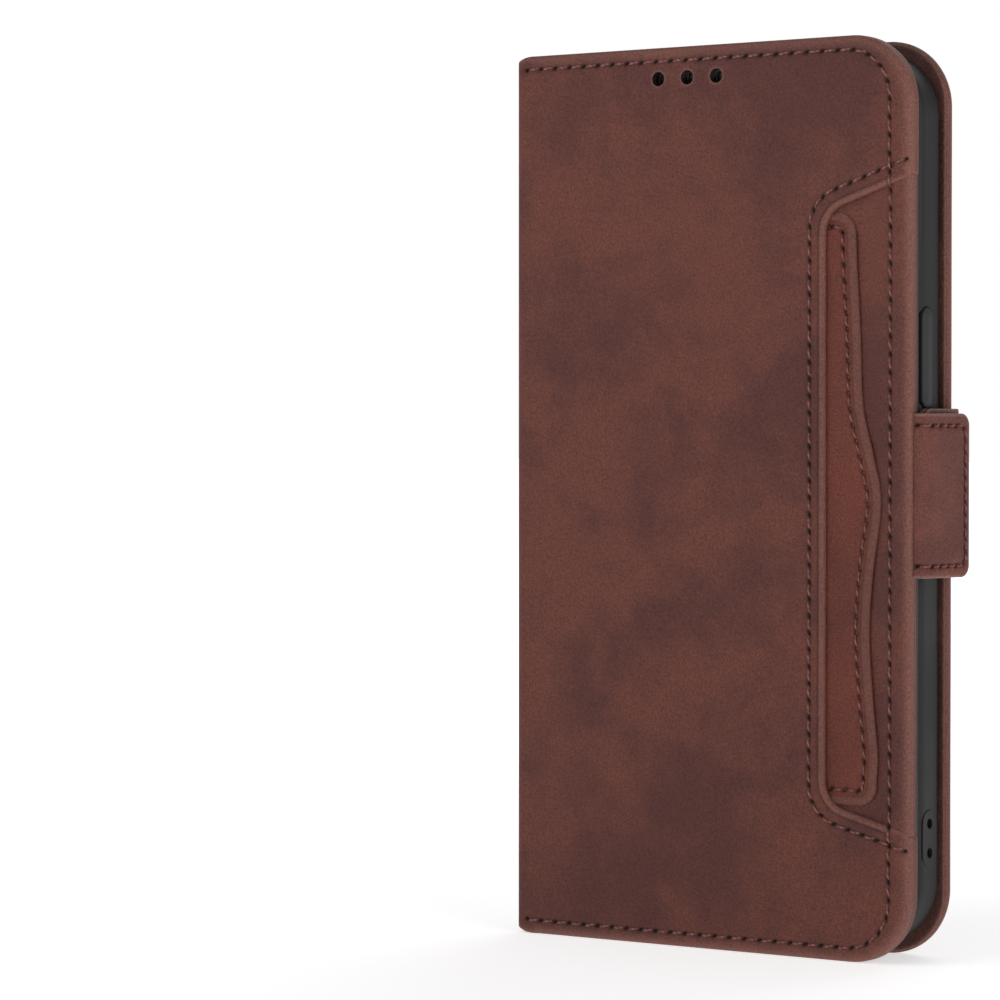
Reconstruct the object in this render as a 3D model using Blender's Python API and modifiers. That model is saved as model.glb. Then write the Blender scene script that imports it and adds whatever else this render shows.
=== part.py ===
"""Folio wallet case for a 6.1 inch phone, closed and standing on its lower edges.

X runs across the width, from the spine (-X) to the free edge (+X). Y runs through the
thickness, from the front cover (-Y) to the back cover (+Y). Z is up. The origin lies
under the middle of the closed case. Loops and paths are lists of points in metres.
"""
import math

import bmesh
import bpy
from mathutils import Matrix, Vector

for old_object in list(bpy.data.objects):
    bpy.data.objects.remove(old_object, do_unlink=True)

MM = 0.001

# The phone that the case holds
PHONE_WIDTH = 71.5 * MM
PHONE_HEIGHT = 146.7 * MM
PHONE_DEPTH = 7.8 * MM
PHONE_CORNER = 9.5 * MM
PHONE_FIT = 0.15 * MM

# Soft shell round the phone
SHELL_WALL = 1.2 * MM
SHELL_FLOOR = 1.0 * MM
SHELL_ROUNDING = 1.8 * MM
LIP_DEPTH = 0.9 * MM
LIP_REACH = 1.5 * MM

# Clearances
LOOSE_GAP = 0.3 * MM
SHEET_GAP = 0.15 * MM

# Covers
END_MARGIN = 2.3 * MM
SPINE_SPACE = 2.3 * MM
FRONT_OVERHANG = 1.8 * MM
BACK_OVERHANG = 1.0 * MM
CORNER = 11.5 * MM
SPINE_CORNER = 1.6 * MM
SKIN = 0.8 * MM
BASE_FLOOR = 0.6 * MM
POCKET_PANEL = 0.6 * MM
BACK_BOARD = 0.7 * MM
FRONT_BOARD = 0.6 * MM
BACK_LINING = 0.5 * MM
FRONT_LINING = 0.4 * MM
SPINE_LINING = 0.35 * MM
LINING_INSET = 0.4 * MM
BOARD_INSET = 2.6 * MM

# Camera window in the back cover, and how far the shell shows inside it
WINDOW_WIDTH = 42.3 * MM
WINDOW_HEIGHT = 40.1 * MM
WINDOW_CORNER = 10.0 * MM
WINDOW_SIDE = 5.3 * MM
WINDOW_TOP = 4.1 * MM
WINDOW_HEM = 2.0 * MM
SHELL_RIM = 1.2 * MM

# Speaker holes through the front cover
SPEAKER_RADIUS = 1.1 * MM
SPEAKER_PITCH = 5.85 * MM
SPEAKER_COUNT = 3
SPEAKER_FROM_SPINE = 30.2 * MM
SPEAKER_FROM_TOP = 5.4 * MM

# Pocket mouth cut out of the front skin at its free edge
MOUTH_FROM_BOTTOM = 22.0 * MM
MOUTH_FROM_TOP = 23.7 * MM
MOUTH_DEPTH = 16.3 * MM
MOUTH_LOW_RISE = 4.4 * MM
MOUTH_HIGH_DROP = 5.5 * MM
MOUTH_RADIUS = 5.0 * MM
MOUTH_SEAM = 3.0 * MM

# Wavy pocket panel under the mouth: depth from the free edge against its share of the height
PANEL_FROM_BOTTOM = 26.0 * MM
PANEL_FROM_TOP = 29.1 * MM
PANEL_FROM_SPINE = 14.0 * MM
PANEL_ROUND = 3.0 * MM
PANEL_SEAM = 2.4 * MM
WAVE_LOW = 6.5 * MM
WAVE_HIGH = 10.6 * MM
WAVE = ((6.3, 0.09), (7.2, 0.18), (7.9, 0.29), (7.3, 0.39), (5.7, 0.51), (7.2, 0.59), (9.2, 0.675),
        (9.7, 0.79), (10.4, 0.91))

# Card and cash pockets inside the front cover
INNER_SHEET = 0.35 * MM
INNER_MARGIN = 1.8 * MM
CARD_SLOT_COUNT = 3
CARD_SLOT_STEP = 12.0 * MM
CARD_SLOT_HEIGHT = 96.0 * MM
CARD_SLOT_FROM_SIDE = 8.0 * MM

# Seams
THREAD_RADIUS = 0.15 * MM
THREAD_DEPTH = 0.17 * MM
SEAM_FROM_END = 2.4 * MM
SEAM_FROM_EDGE = 4.0 * MM
SEAM_CORNER = 8.0 * MM
SEAM_STEP = 0.8 * MM

# Closing tabs
TAB_ABOVE_MIDDLE = 0.7 * MM
TAB_HEIGHT = 27.2 * MM
TAB_CORNER = 2.0 * MM
TAB_SEAM_SIDE = 2.0 * MM
TAB_SEAM_END = 1.0 * MM
TAB_SKIN = 0.7 * MM
MAGNET_DEPTH = 0.6 * MM
MAGNET_LENGTH = 6.0 * MM
MAGNET_HEIGHT = 18.0 * MM
TAB_ROOT_INSET = 0.95 * MM
FRONT_TAB_SETBACK = 1.4 * MM
FRONT_TAB_THICK = 2.1 * MM
FRONT_TAB_FLARE = math.radians(8.5)
BACK_TAB_SETBACK = 1.9 * MM
BACK_TAB_THICK = 1.8 * MM
BACK_TAB_FLARE = math.radians(5.0)
BACK_TAB_RISE = 0.8 * MM

# Openings and buttons of the shell
BUTTON_WIDTH = 3.4 * MM
SIDE_BUTTON_PROUD = 0.4 * MM
VOLUME_PROUD = 0.1 * MM
BUTTON_EDGE = 0.2 * MM
SIDE_BUTTON_FROM_TOP = 53.5 * MM
SIDE_BUTTON_LENGTH = 17.0 * MM
VOLUME_LENGTH = 10.0 * MM
VOLUME_UP_FROM_TOP = 42.0 * MM
VOLUME_DOWN_FROM_TOP = 56.0 * MM
MUTE_FROM_TOP = 28.0 * MM
MUTE_LENGTH = 8.0 * MM
LANYARD_HEIGHTS = (18.0 * MM, 22.9 * MM)
LANYARD_RADIUS = 0.85 * MM
PORT_WIDTH = 12.5 * MM
PORT_DEPTH = 5.6 * MM
GRILLE_WIDTH = 13.0 * MM
GRILLE_DEPTH = 2.6 * MM
GRILLE_FROM_PORT = 5.0 * MM

# Heights
CAVITY_HEIGHT = PHONE_HEIGHT + 2 * PHONE_FIT
SHELL_HEIGHT = CAVITY_HEIGHT + 2 * SHELL_WALL
COVER_HEIGHT = SHELL_HEIGHT + 2 * END_MARGIN
SHELL_LOW = END_MARGIN
CAVITY_LOW = SHELL_LOW + SHELL_WALL

# Levels through the thickness, counted from the back cover's outer face
BACK_LINING_DEPTH = BACK_LINING + BACK_BOARD + SHEET_GAP
CAVITY_DEPTH = PHONE_DEPTH + PHONE_FIT
SHELL_DEPTH = SHELL_FLOOR + CAVITY_DEPTH + LIP_DEPTH
FRONT_LINING_DEPTH = FRONT_LINING + FRONT_BOARD + SHEET_GAP
BASE_DEPTH = BASE_FLOOR + SHEET_GAP + POCKET_PANEL
CASE_DEPTH = (SKIN + SHEET_GAP + BACK_LINING_DEPTH + SHEET_GAP + SHELL_DEPTH + LOOSE_GAP
              + FRONT_LINING_DEPTH + SHEET_GAP + BASE_DEPTH + SHEET_GAP + SKIN)
Y_BACK = CASE_DEPTH / 2
Y_BACK_SKIN = Y_BACK - SKIN
Y_BACK_LINING = Y_BACK_SKIN - SHEET_GAP
Y_BACK_INNER = Y_BACK_LINING - BACK_LINING_DEPTH
Y_SHELL_BACK = Y_BACK_INNER - SHEET_GAP
Y_SHELL_FLOOR = Y_SHELL_BACK - SHELL_FLOOR
Y_LIP = Y_SHELL_FLOOR - CAVITY_DEPTH
Y_SHELL_FRONT = Y_LIP - LIP_DEPTH
Y_FRONT_INNER = Y_SHELL_FRONT - LOOSE_GAP
Y_FRONT_LINING = Y_FRONT_INNER - FRONT_LINING_DEPTH
Y_BASE_INNER = Y_FRONT_LINING - SHEET_GAP
Y_BASE = Y_BASE_INNER - BASE_DEPTH
Y_FRONT_SKIN = Y_BASE - SHEET_GAP
Y_FRONT = Y_FRONT_SKIN - SKIN

# Tab roots and lengths: each tip stops short of the other tab's root
Y_FRONT_TAB = Y_FRONT_INNER - TAB_ROOT_INSET
Y_BACK_TAB = Y_BACK_INNER + TAB_ROOT_INSET
FRONT_TAB_LENGTH = Y_BACK_TAB - Y_FRONT_TAB - FRONT_TAB_SETBACK
BACK_TAB_LENGTH = Y_BACK_TAB - Y_FRONT_TAB - BACK_TAB_SETBACK

# Places across the width
FOLD_RADIUS = SKIN / 2
SHELL_FROM_SPINE = SKIN + SHEET_GAP + SPINE_LINING + SPINE_SPACE
SHELL_WIDTH = PHONE_WIDTH + 2 * PHONE_FIT + 2 * SHELL_WALL
FRONT_WIDTH = SHELL_FROM_SPINE + SHELL_WIDTH + FRONT_OVERHANG
BACK_WIDTH = SHELL_FROM_SPINE + SHELL_WIDTH + BACK_OVERHANG
FRONT_TAB_REACH = (LOOSE_GAP + FRONT_TAB_THICK / 2 + FRONT_TAB_LENGTH * math.sin(FRONT_TAB_FLARE)
                   + FRONT_TAB_THICK / 2 * math.cos(FRONT_TAB_FLARE))
CASE_WIDTH = FRONT_WIDTH + FRONT_TAB_REACH
X_SPINE = -CASE_WIDTH / 2
X_FOLD = X_SPINE + FOLD_RADIUS
X_COVER = X_FOLD + FOLD_RADIUS + LOOSE_GAP
X_FRONT_EDGE = X_SPINE + FRONT_WIDTH
X_BACK_EDGE = X_SPINE + BACK_WIDTH
X_SHELL_LOW = X_SPINE + SHELL_FROM_SPINE
X_SHELL_HIGH = X_SHELL_LOW + SHELL_WIDTH
X_CAVITY_LOW = X_SHELL_LOW + SHELL_WALL
X_CAVITY_HIGH = X_SHELL_HIGH - SHELL_WALL
X_SHELL_MIDDLE = (X_SHELL_LOW + X_SHELL_HIGH) / 2
Y_CAVITY_MIDDLE = (Y_SHELL_FLOOR + Y_LIP) / 2

# Joint axes, all upright: the folds' and the tabs' roots
Y_BACK_FOLD = Y_BACK - FOLD_RADIUS
Y_FRONT_FOLD = Y_FRONT + FOLD_RADIUS
X_FRONT_TAB = X_FRONT_EDGE + LOOSE_GAP + FRONT_TAB_THICK / 2
X_BACK_TAB = X_BACK_EDGE + LOOSE_GAP + BACK_TAB_THICK / 2

# Colour (linear red, green, blue), roughness and metallic value of each material
LEATHER = ((0.118, 0.050, 0.041), 0.62, 0.0)
PANEL_LEATHER = ((0.120, 0.045, 0.036), 0.62, 0.0)
LINING = ((0.055, 0.025, 0.020), 0.75, 0.0)
BOARD = ((0.30, 0.27, 0.22), 0.9, 0.0)
THREAD = ((0.20, 0.075, 0.055), 0.7, 0.0)
SHELL = ((0.038, 0.041, 0.039), 0.5, 0.0)
BUTTON = ((0.030, 0.032, 0.031), 0.45, 0.0)
STEEL = ((0.55, 0.55, 0.56), 0.35, 1.0)

case = bpy.data.collections.new("phone_wallet_case")
cutters = bpy.data.collections.new("cutters")
bpy.context.scene.collection.children.link(case)
bpy.context.scene.collection.children.link(cutters)

# Turns an outline drawn in local X and Y so that its thickness lies along the named axis
AXIS_TURN = {
    "X": Matrix.Rotation(math.pi / 2, 4, "Z") @ Matrix.Rotation(math.pi / 2, 4, "X"),
    "Y": Matrix.Rotation(math.pi / 2, 4, "X"),
    "Z": Matrix.Identity(4),
}


def arc(centre_a, centre_b, radius, start, end, steps=6):
    """Points along an arc whose angles are in degrees."""
    angles = [math.radians(start + (end - start) * i / steps) for i in range(steps + 1)]
    return [(centre_a + radius * math.cos(t), centre_b + radius * math.sin(t)) for t in angles]


def rounded_rectangle(left, low, right, high, radii, steps=6):
    """Anticlockwise loop; the four radii start at the lower left corner."""
    first, second, third, fourth = radii
    return (arc(left + first, low + first, first, 180, 270, steps)
            + arc(right - second, low + second, second, 270, 360, steps)
            + arc(right - third, high - third, third, 0, 90, steps)
            + arc(left + fourth, high - fourth, fourth, 90, 180, steps))


def fillet(corners, radius, steps=5):
    """Open path through the corners, with each inner corner rounded."""
    path = [corners[0]]
    for before, corner, after in zip(corners, corners[1:], corners[2:]):
        to_before = (Vector(before) - Vector(corner)).normalized()
        to_after = (Vector(after) - Vector(corner)).normalized()
        half = to_before.angle(to_after) / 2
        centre = Vector(corner) + (to_before + to_after).normalized() * radius / math.sin(half)
        start = Vector(corner) + to_before * radius / math.tan(half) - centre
        end = Vector(corner) + to_after * radius / math.tan(half) - centre
        first = math.atan2(start.y, start.x)
        sweep = (math.atan2(end.y, end.x) - first + math.pi) % (2 * math.pi) - math.pi
        path += arc(centre.x, centre.y, radius, math.degrees(first), math.degrees(first + sweep), steps)
    return path + [corners[-1]]


def smooth(points, steps=3):
    """Catmull-Rom curve through the points."""
    ends = [points[0]] + list(points) + [points[-1]]
    path = []
    for a, b, c, d in zip(ends, ends[1:], ends[2:], ends[3:]):
        for i in range(steps):
            t = i / steps
            path.append(tuple(
                q + t * ((r - p) + t * ((2 * p - 5 * q + 4 * r - s) + t * (3 * (q - r) + s - p))) / 2
                for p, q, r, s in zip(a, b, c, d)))
    return path + [points[-1]]


def parallel(path, distance):
    """Path moved sideways to its left."""
    moved = []
    for i, (a, b) in enumerate(path):
        along = (Vector(path[min(i + 1, len(path) - 1)]) - Vector(path[max(i - 1, 0)])).normalized()
        moved.append((a - along.y * distance, b + along.x * distance))
    return moved


def at_x(start, end, x):
    """Point at x on the line through two points."""
    return (x, start[1] + (end[1] - start[1]) * (x - start[0]) / (end[0] - start[0]))


def curve_mesh(name, curve, turn):
    """Closed mesh of a curve, welded and with its flat faces joined."""
    guide = bpy.data.objects.new(name, curve)
    case.objects.link(guide)
    evaluated = guide.evaluated_get(bpy.context.evaluated_depsgraph_get())
    mesh = bpy.data.meshes.new_from_object(evaluated)
    bpy.data.objects.remove(guide)
    bpy.data.curves.remove(curve)
    shape = bmesh.new()
    shape.from_mesh(mesh)
    bmesh.ops.remove_doubles(shape, verts=shape.verts, dist=1e-7)
    bmesh.ops.dissolve_limit(shape, angle_limit=0.001, verts=shape.verts, edges=shape.edges)
    bmesh.ops.transform(shape, matrix=turn, verts=shape.verts)
    bmesh.ops.recalc_face_normals(shape, faces=shape.faces)
    shape.to_mesh(mesh)
    shape.free()
    return mesh


def extruded(name, loops, low, high, axis="Y", home=case):
    """Piece of one outline between two levels on an axis; loops after the first are holes."""
    curve = bpy.data.curves.new(name, "CURVE")
    curve.dimensions = "2D"
    curve.fill_mode = "BOTH"
    curve.extrude = (high - low) / 2
    for loop in loops:
        spline = curve.splines.new("POLY")
        spline.points.add(len(loop) - 1)
        spline.use_cyclic_u = True
        for point, (a, b) in zip(spline.points, loop):
            point.co = (a, b, 0, 1)
    piece = bpy.data.objects.new(name, curve_mesh(name, curve, AXIS_TURN[axis]))
    piece.location["XYZ".index(axis)] = (low + high) / 2
    home.objects.link(piece)
    return piece


def tube(name, points, radius):
    """Curve of round section along the points."""
    curve = bpy.data.curves.new(name, "CURVE")
    curve.dimensions = "3D"
    curve.bevel_depth = radius
    curve.bevel_resolution = 1
    curve.use_fill_caps = True
    spline = curve.splines.new("POLY")
    spline.points.add(len(points) - 1)
    for point, place in zip(spline.points, points):
        point.co = (*place, 1)
    return curve


def cutter(name, loops, low, high, axis="Y"):
    """Guide solid that a Boolean takes away."""
    guide = extruded(name, loops, low, high, axis, cutters)
    guide.hide_render = True
    guide.display_type = "WIRE"
    return guide


def boolean(piece, guide, operation="DIFFERENCE"):
    """Cuts or limits a piece by a guide solid."""
    modifier = piece.modifiers.new(guide.name, "BOOLEAN")
    modifier.operation = operation
    modifier.solver = "EXACT"
    modifier.object = guide
    return guide


def seam(name, points, pieces, pivot=None):
    """Thread along the points, sunk in a groove in each of the pieces that it crosses."""
    line = bpy.data.objects.new(name, tube(name, points, THREAD_RADIUS))
    case.objects.link(line)
    first, last = Vector(points[0]), Vector(points[-1])
    run_in = (first - Vector(points[1])).normalized() * 2 * LOOSE_GAP
    run_out = (last - Vector(points[-2])).normalized() * 2 * LOOSE_GAP
    route = [first + run_in] + list(points[1:-1]) + [last + run_out]
    groove = tube(name + "_groove", route, THREAD_RADIUS + SHEET_GAP)
    guide = bpy.data.objects.new(name + "_groove", curve_mesh(name + "_groove", groove, Matrix.Identity(4)))
    guide.hide_render = True
    guide.display_type = "WIRE"
    cutters.objects.link(guide)
    for piece in pieces:
        boolean(piece, guide)
    finish(line, THREAD)
    if pivot:
        attach(pivot, [line, guide])


def finish(piece, look):
    """Gives a piece its own material and smooth round faces."""
    colour, roughness, metallic = look
    material = bpy.data.materials.new(piece.name)
    material.use_nodes = True
    shader = material.node_tree.nodes["Principled BSDF"]
    shader.inputs["Base Color"].default_value = (*colour, 1)
    shader.inputs["Roughness"].default_value = roughness
    shader.inputs["Metallic"].default_value = metallic
    material.diffuse_color = (*colour, 1)
    piece.data.materials.append(material)
    if piece.type == "MESH":
        piece.data.shade_smooth()
        piece.data.set_sharp_from_angle(angle=math.radians(30))


def pivot(name, x, y, parent=None, turn=0.0):
    """Empty on an upright joint axis."""
    empty = bpy.data.objects.new(name, None)
    empty.empty_display_size = 10 * MM
    empty.location = (x, y, 0)
    empty.rotation_euler.z = turn
    case.objects.link(empty)
    if parent:
        empty.parent = parent
        empty.location -= joint_place(parent)
    return empty


def joint_place(empty):
    """World place of an upright joint axis whose parents aren't turned."""
    return empty.location + joint_place(empty.parent) if empty.parent else empty.location.copy()


def attach(empty, pieces):
    """Parents pieces, placed in world coordinates, to an unturned joint axis."""
    for piece in pieces:
        piece.parent = empty
        piece.location -= joint_place(empty)


def cover_outline(left, right, inset=0.0):
    """Outline of a cover, with small corners at the spine and large ones at the free edge."""
    small, large = max(SPINE_CORNER - inset, SHEET_GAP), CORNER - inset
    return rounded_rectangle(left, inset, right - inset, COVER_HEIGHT - inset, (small, large, large, small))


def seam_line(right):
    """Seam inside a cover's outline, from the top of the fold round to the bottom."""
    left, right = X_COVER + LOOSE_GAP, right - SEAM_FROM_EDGE
    low, high = SEAM_FROM_END, COVER_HEIGHT - SEAM_FROM_END
    return ([(left, high)] + arc(right - SEAM_CORNER, high - SEAM_CORNER, SEAM_CORNER, 90, 0)
            + arc(right - SEAM_CORNER, low + SEAM_CORNER, SEAM_CORNER, 0, -90) + [(left, low)])


def speaker_holes(radius):
    """Loops of the row of speaker holes."""
    height = COVER_HEIGHT - SPEAKER_FROM_TOP
    places = [X_SPINE + SPEAKER_FROM_SPINE + i * SPEAKER_PITCH for i in range(SPEAKER_COUNT)]
    return [arc(x, height, radius, 0, 330, 11) for x in places]


# Joint axes
back_fold = pivot("back_fold_axis", X_FOLD, Y_BACK_FOLD)
front_fold = pivot("front_fold_axis", X_FOLD, Y_FRONT_FOLD, back_fold)
front_tab = pivot("front_tab_axis", X_FRONT_TAB, Y_FRONT_TAB, front_fold, math.pi / 2 - FRONT_TAB_FLARE)
back_tab = pivot("back_tab_axis", X_BACK_TAB, Y_BACK_TAB, None, -math.pi / 2 - BACK_TAB_FLARE)

# Back cover: skin, and a lining that holds the board in a recess
window_right = X_BACK_EDGE - WINDOW_SIDE
window_left = window_right - WINDOW_WIDTH
window_high = COVER_HEIGHT - WINDOW_TOP
window_low = window_high - WINDOW_HEIGHT
window = rounded_rectangle(window_left, window_low, window_right, window_high, [WINDOW_CORNER] * 4)
back_skin = extruded("back_skin", [cover_outline(X_COVER, X_BACK_EDGE), window], Y_BACK_SKIN, Y_BACK)
back_lining = extruded("back_lining", [cover_outline(X_COVER, X_BACK_EDGE, LINING_INSET), window],
                       Y_BACK_INNER, Y_BACK_LINING)


def back_board_outline(grow):
    """Outline below and beside the camera window."""
    left, low = X_COVER + BOARD_INSET - grow, BOARD_INSET - grow
    right, high = X_BACK_EDGE - BOARD_INSET + grow, COVER_HEIGHT - BOARD_INSET + grow
    round_low = CORNER - BOARD_INSET + grow
    shelf, side = window_low - WINDOW_HEM + grow, window_left - WINDOW_HEM + grow
    return ([(left, low)] + arc(right - round_low, low + round_low, round_low, 270, 360)
            + [(right, shelf), (side, shelf), (side, high), (left, high)])


back_board = extruded("back_board", [back_board_outline(0)], Y_BACK_LINING - BACK_BOARD, Y_BACK_LINING)
boolean(back_lining, cutter("back_board_recess", [back_board_outline(SHEET_GAP)],
                            Y_BACK_INNER + BACK_LINING, Y_BACK))
seam("back_edge_thread", [(x, Y_BACK - THREAD_DEPTH, z) for x, z in seam_line(X_BACK_EDGE)], [back_skin])
finish(back_skin, LEATHER)
finish(back_lining, LINING)
finish(back_board, BOARD)

# Spine: a skin with round ends on both fold axes, and its lining
spine_section = (arc(X_FOLD, Y_FRONT_FOLD, FOLD_RADIUS, 180, 360)
                 + arc(X_FOLD, Y_BACK_FOLD, FOLD_RADIUS, 0, 180))
spine_skin = extruded("spine_skin", [spine_section], 0, COVER_HEIGHT, "Z")
spine_lining_left = X_SPINE + SKIN + SHEET_GAP
spine_lining = extruded(
    "spine_lining",
    [rounded_rectangle(Y_FRONT_INNER + LOOSE_GAP, LINING_INSET, Y_BACK_INNER - LOOSE_GAP,
                       COVER_HEIGHT - LINING_INSET, [SPINE_CORNER] * 4)],
    spine_lining_left, spine_lining_left + SPINE_LINING, "X")
finish(spine_skin, LEATHER)
finish(spine_lining, LINING)
attach(back_fold, [spine_skin, spine_lining])

# Front cover: outer skin with the pocket mouth
mouth_low, mouth_high = MOUTH_FROM_BOTTOM, COVER_HEIGHT - MOUTH_FROM_TOP
mouth_edge = X_FRONT_EDGE - MOUTH_DEPTH
mouth_corners = [(X_FRONT_EDGE, mouth_low), (mouth_edge, mouth_low + MOUTH_LOW_RISE),
                 (mouth_edge, mouth_high - MOUTH_HIGH_DROP), (X_FRONT_EDGE, mouth_high)]
mouth = fillet(mouth_corners, MOUTH_RADIUS)
skin_outline = (arc(X_COVER + SPINE_CORNER, SPINE_CORNER, SPINE_CORNER, 180, 270)
                + arc(X_FRONT_EDGE - CORNER, CORNER, CORNER, 270, 360) + mouth
                + arc(X_FRONT_EDGE - CORNER, COVER_HEIGHT - CORNER, CORNER, 0, 90)
                + arc(X_COVER + SPINE_CORNER, COVER_HEIGHT - SPINE_CORNER, SPINE_CORNER, 90, 180))
front_skin = extruded("front_skin", [skin_outline] + speaker_holes(SPEAKER_RADIUS), Y_FRONT, Y_FRONT_SKIN)

# Base skin under it, with a recess for the wavy pocket panel
base_skin = extruded("front_base_skin", [cover_outline(X_COVER, X_FRONT_EDGE)]
                     + speaker_holes(SPEAKER_RADIUS), Y_BASE, Y_BASE_INNER)
panel_low, panel_high = PANEL_FROM_BOTTOM, COVER_HEIGHT - PANEL_FROM_TOP
panel_left = X_SPINE + PANEL_FROM_SPINE
wave_places = [(X_FRONT_EDGE - depth * MM, panel_low + share * (panel_high - panel_low))
               for depth, share in WAVE]
wave_low = arc(X_FRONT_EDGE - WAVE_LOW - PANEL_ROUND, panel_low + PANEL_ROUND, PANEL_ROUND, 270, 360, 4)
wave_high = arc(X_FRONT_EDGE - WAVE_HIGH - PANEL_ROUND, panel_high - PANEL_ROUND, PANEL_ROUND, 0, 90, 4)
wave = wave_low + smooth([wave_low[-1]] + wave_places + [wave_high[0]])[1:-1] + wave_high


def panel_outline(grow):
    """Outline of the pocket panel, with its wavy edge towards the free edge."""
    left, low, high = panel_left - grow, panel_low - grow, panel_high + grow
    return [(left, low)] + parallel(wave, -grow) + [(left, high)]


pocket_panel = extruded("pocket_panel", [panel_outline(0)], Y_BASE, Y_BASE + POCKET_PANEL)
panel_recess = boolean(base_skin, cutter("pocket_panel_recess", [panel_outline(SHEET_GAP)],
                                         Y_FRONT, Y_BASE_INNER - BASE_FLOOR))

# Lining of the front cover, which holds the board
front_lining = extruded("front_lining", [cover_outline(X_COVER, X_FRONT_EDGE, LINING_INSET)]
                        + speaker_holes(SPEAKER_RADIUS), Y_FRONT_LINING, Y_FRONT_INNER)


def front_board_outline(grow):
    """Outline of the board, with large corners at the free edge."""
    large = CORNER - BOARD_INSET + grow
    return rounded_rectangle(X_COVER + BOARD_INSET - grow, BOARD_INSET - grow,
                             X_FRONT_EDGE - BOARD_INSET + grow, COVER_HEIGHT - BOARD_INSET + grow,
                             (SPINE_CORNER, large, large, SPINE_CORNER))


front_board = extruded("front_board", [front_board_outline(0)] + speaker_holes(SPEAKER_RADIUS + LOOSE_GAP),
                       Y_FRONT_LINING, Y_FRONT_LINING + FRONT_BOARD)
board_recess = boolean(front_lining, cutter("front_board_recess", [front_board_outline(SHEET_GAP)],
                                            Y_FRONT, Y_FRONT_INNER - FRONT_LINING))

# Seams of the front cover: the edge seam steps down to the base skin across the pocket mouth
seam_x = X_FRONT_EDGE - SEAM_FROM_EDGE
step_low = mouth_low + MOUTH_LOW_RISE * SEAM_FROM_EDGE / MOUTH_DEPTH
step_high = mouth_high - MOUTH_HIGH_DROP * SEAM_FROM_EDGE / MOUTH_DEPTH
y_skin_seam, y_base_seam = Y_FRONT + THREAD_DEPTH, Y_BASE + THREAD_DEPTH
edge_points = [(x, y_skin_seam, z) for x, z in seam_line(X_FRONT_EDGE)]
half = len(edge_points) // 2
step_points = [(seam_x, y_skin_seam, step_high + SEAM_STEP), (seam_x, y_base_seam, step_high - SEAM_STEP),
               (seam_x, y_base_seam, step_low + SEAM_STEP), (seam_x, y_skin_seam, step_low - SEAM_STEP)]
seam("front_edge_thread", edge_points[:half] + step_points + edge_points[half:], [front_skin, base_skin],
     front_fold)
seam_corners = [(seam_x, step_low)] + mouth_corners[1:3] + [(seam_x, step_high)]
mouth_seam = parallel(fillet(seam_corners, MOUTH_RADIUS), MOUTH_SEAM)
mouth_seam[0] = at_x(mouth_seam[0], mouth_seam[1], seam_x - 2 * LOOSE_GAP)
mouth_seam[-1] = at_x(mouth_seam[-2], mouth_seam[-1], seam_x - 2 * LOOSE_GAP)
seam("pocket_mouth_thread", [(x, y_skin_seam, z) for x, z in mouth_seam], [front_skin], front_fold)
seam("pocket_panel_thread", [(x, y_base_seam, z) for x, z in parallel(wave, PANEL_SEAM)], [pocket_panel],
     front_fold)

# Card and cash pockets, which lie inside the shell's lip when the case is closed
inner_left = X_CAVITY_LOW + LIP_REACH + INNER_MARGIN
inner_right = X_CAVITY_HIGH - LIP_REACH - INNER_MARGIN
inner_low = CAVITY_LOW + LIP_REACH + INNER_MARGIN
inner_high = inner_low + CAVITY_HEIGHT - 2 * LIP_REACH - 2 * INNER_MARGIN
y_cash = Y_FRONT_INNER + SHEET_GAP
inner_corner = PHONE_CORNER - LIP_REACH - INNER_MARGIN
cash_pocket = extruded("cash_pocket", [rounded_rectangle(inner_left, inner_low, inner_right, inner_high,
                                                         [inner_corner] * 4)],
                       y_cash, y_cash + INNER_SHEET)
slot_low = (inner_low + inner_high - CARD_SLOT_HEIGHT) / 2
y_card = y_cash + INNER_SHEET + SHEET_GAP
card_slots = []
for number in range(CARD_SLOT_COUNT):
    slot_left = inner_left + CARD_SLOT_FROM_SIDE + number * CARD_SLOT_STEP
    slot_right = slot_left + CARD_SLOT_STEP - LOOSE_GAP
    if number == CARD_SLOT_COUNT - 1:
        slot_right = inner_right - SPINE_CORNER
    slot = extruded("card_slot_%d" % (number + 1),
                    [rounded_rectangle(slot_left, slot_low, slot_right, slot_low + CARD_SLOT_HEIGHT,
                                       [SPINE_CORNER] * 4, 3)], y_card, y_card + INNER_SHEET)
    finish(slot, LINING)
    card_slots.append(slot)
finish(front_skin, LEATHER)
finish(base_skin, LEATHER)
finish(pocket_panel, PANEL_LEATHER)
finish(front_lining, LINING)
finish(front_board, BOARD)
finish(cash_pocket, LINING)
attach(front_fold, [front_skin, base_skin, pocket_panel, front_lining, front_board, cash_pocket,
                    panel_recess, board_recess] + card_slots)


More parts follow.
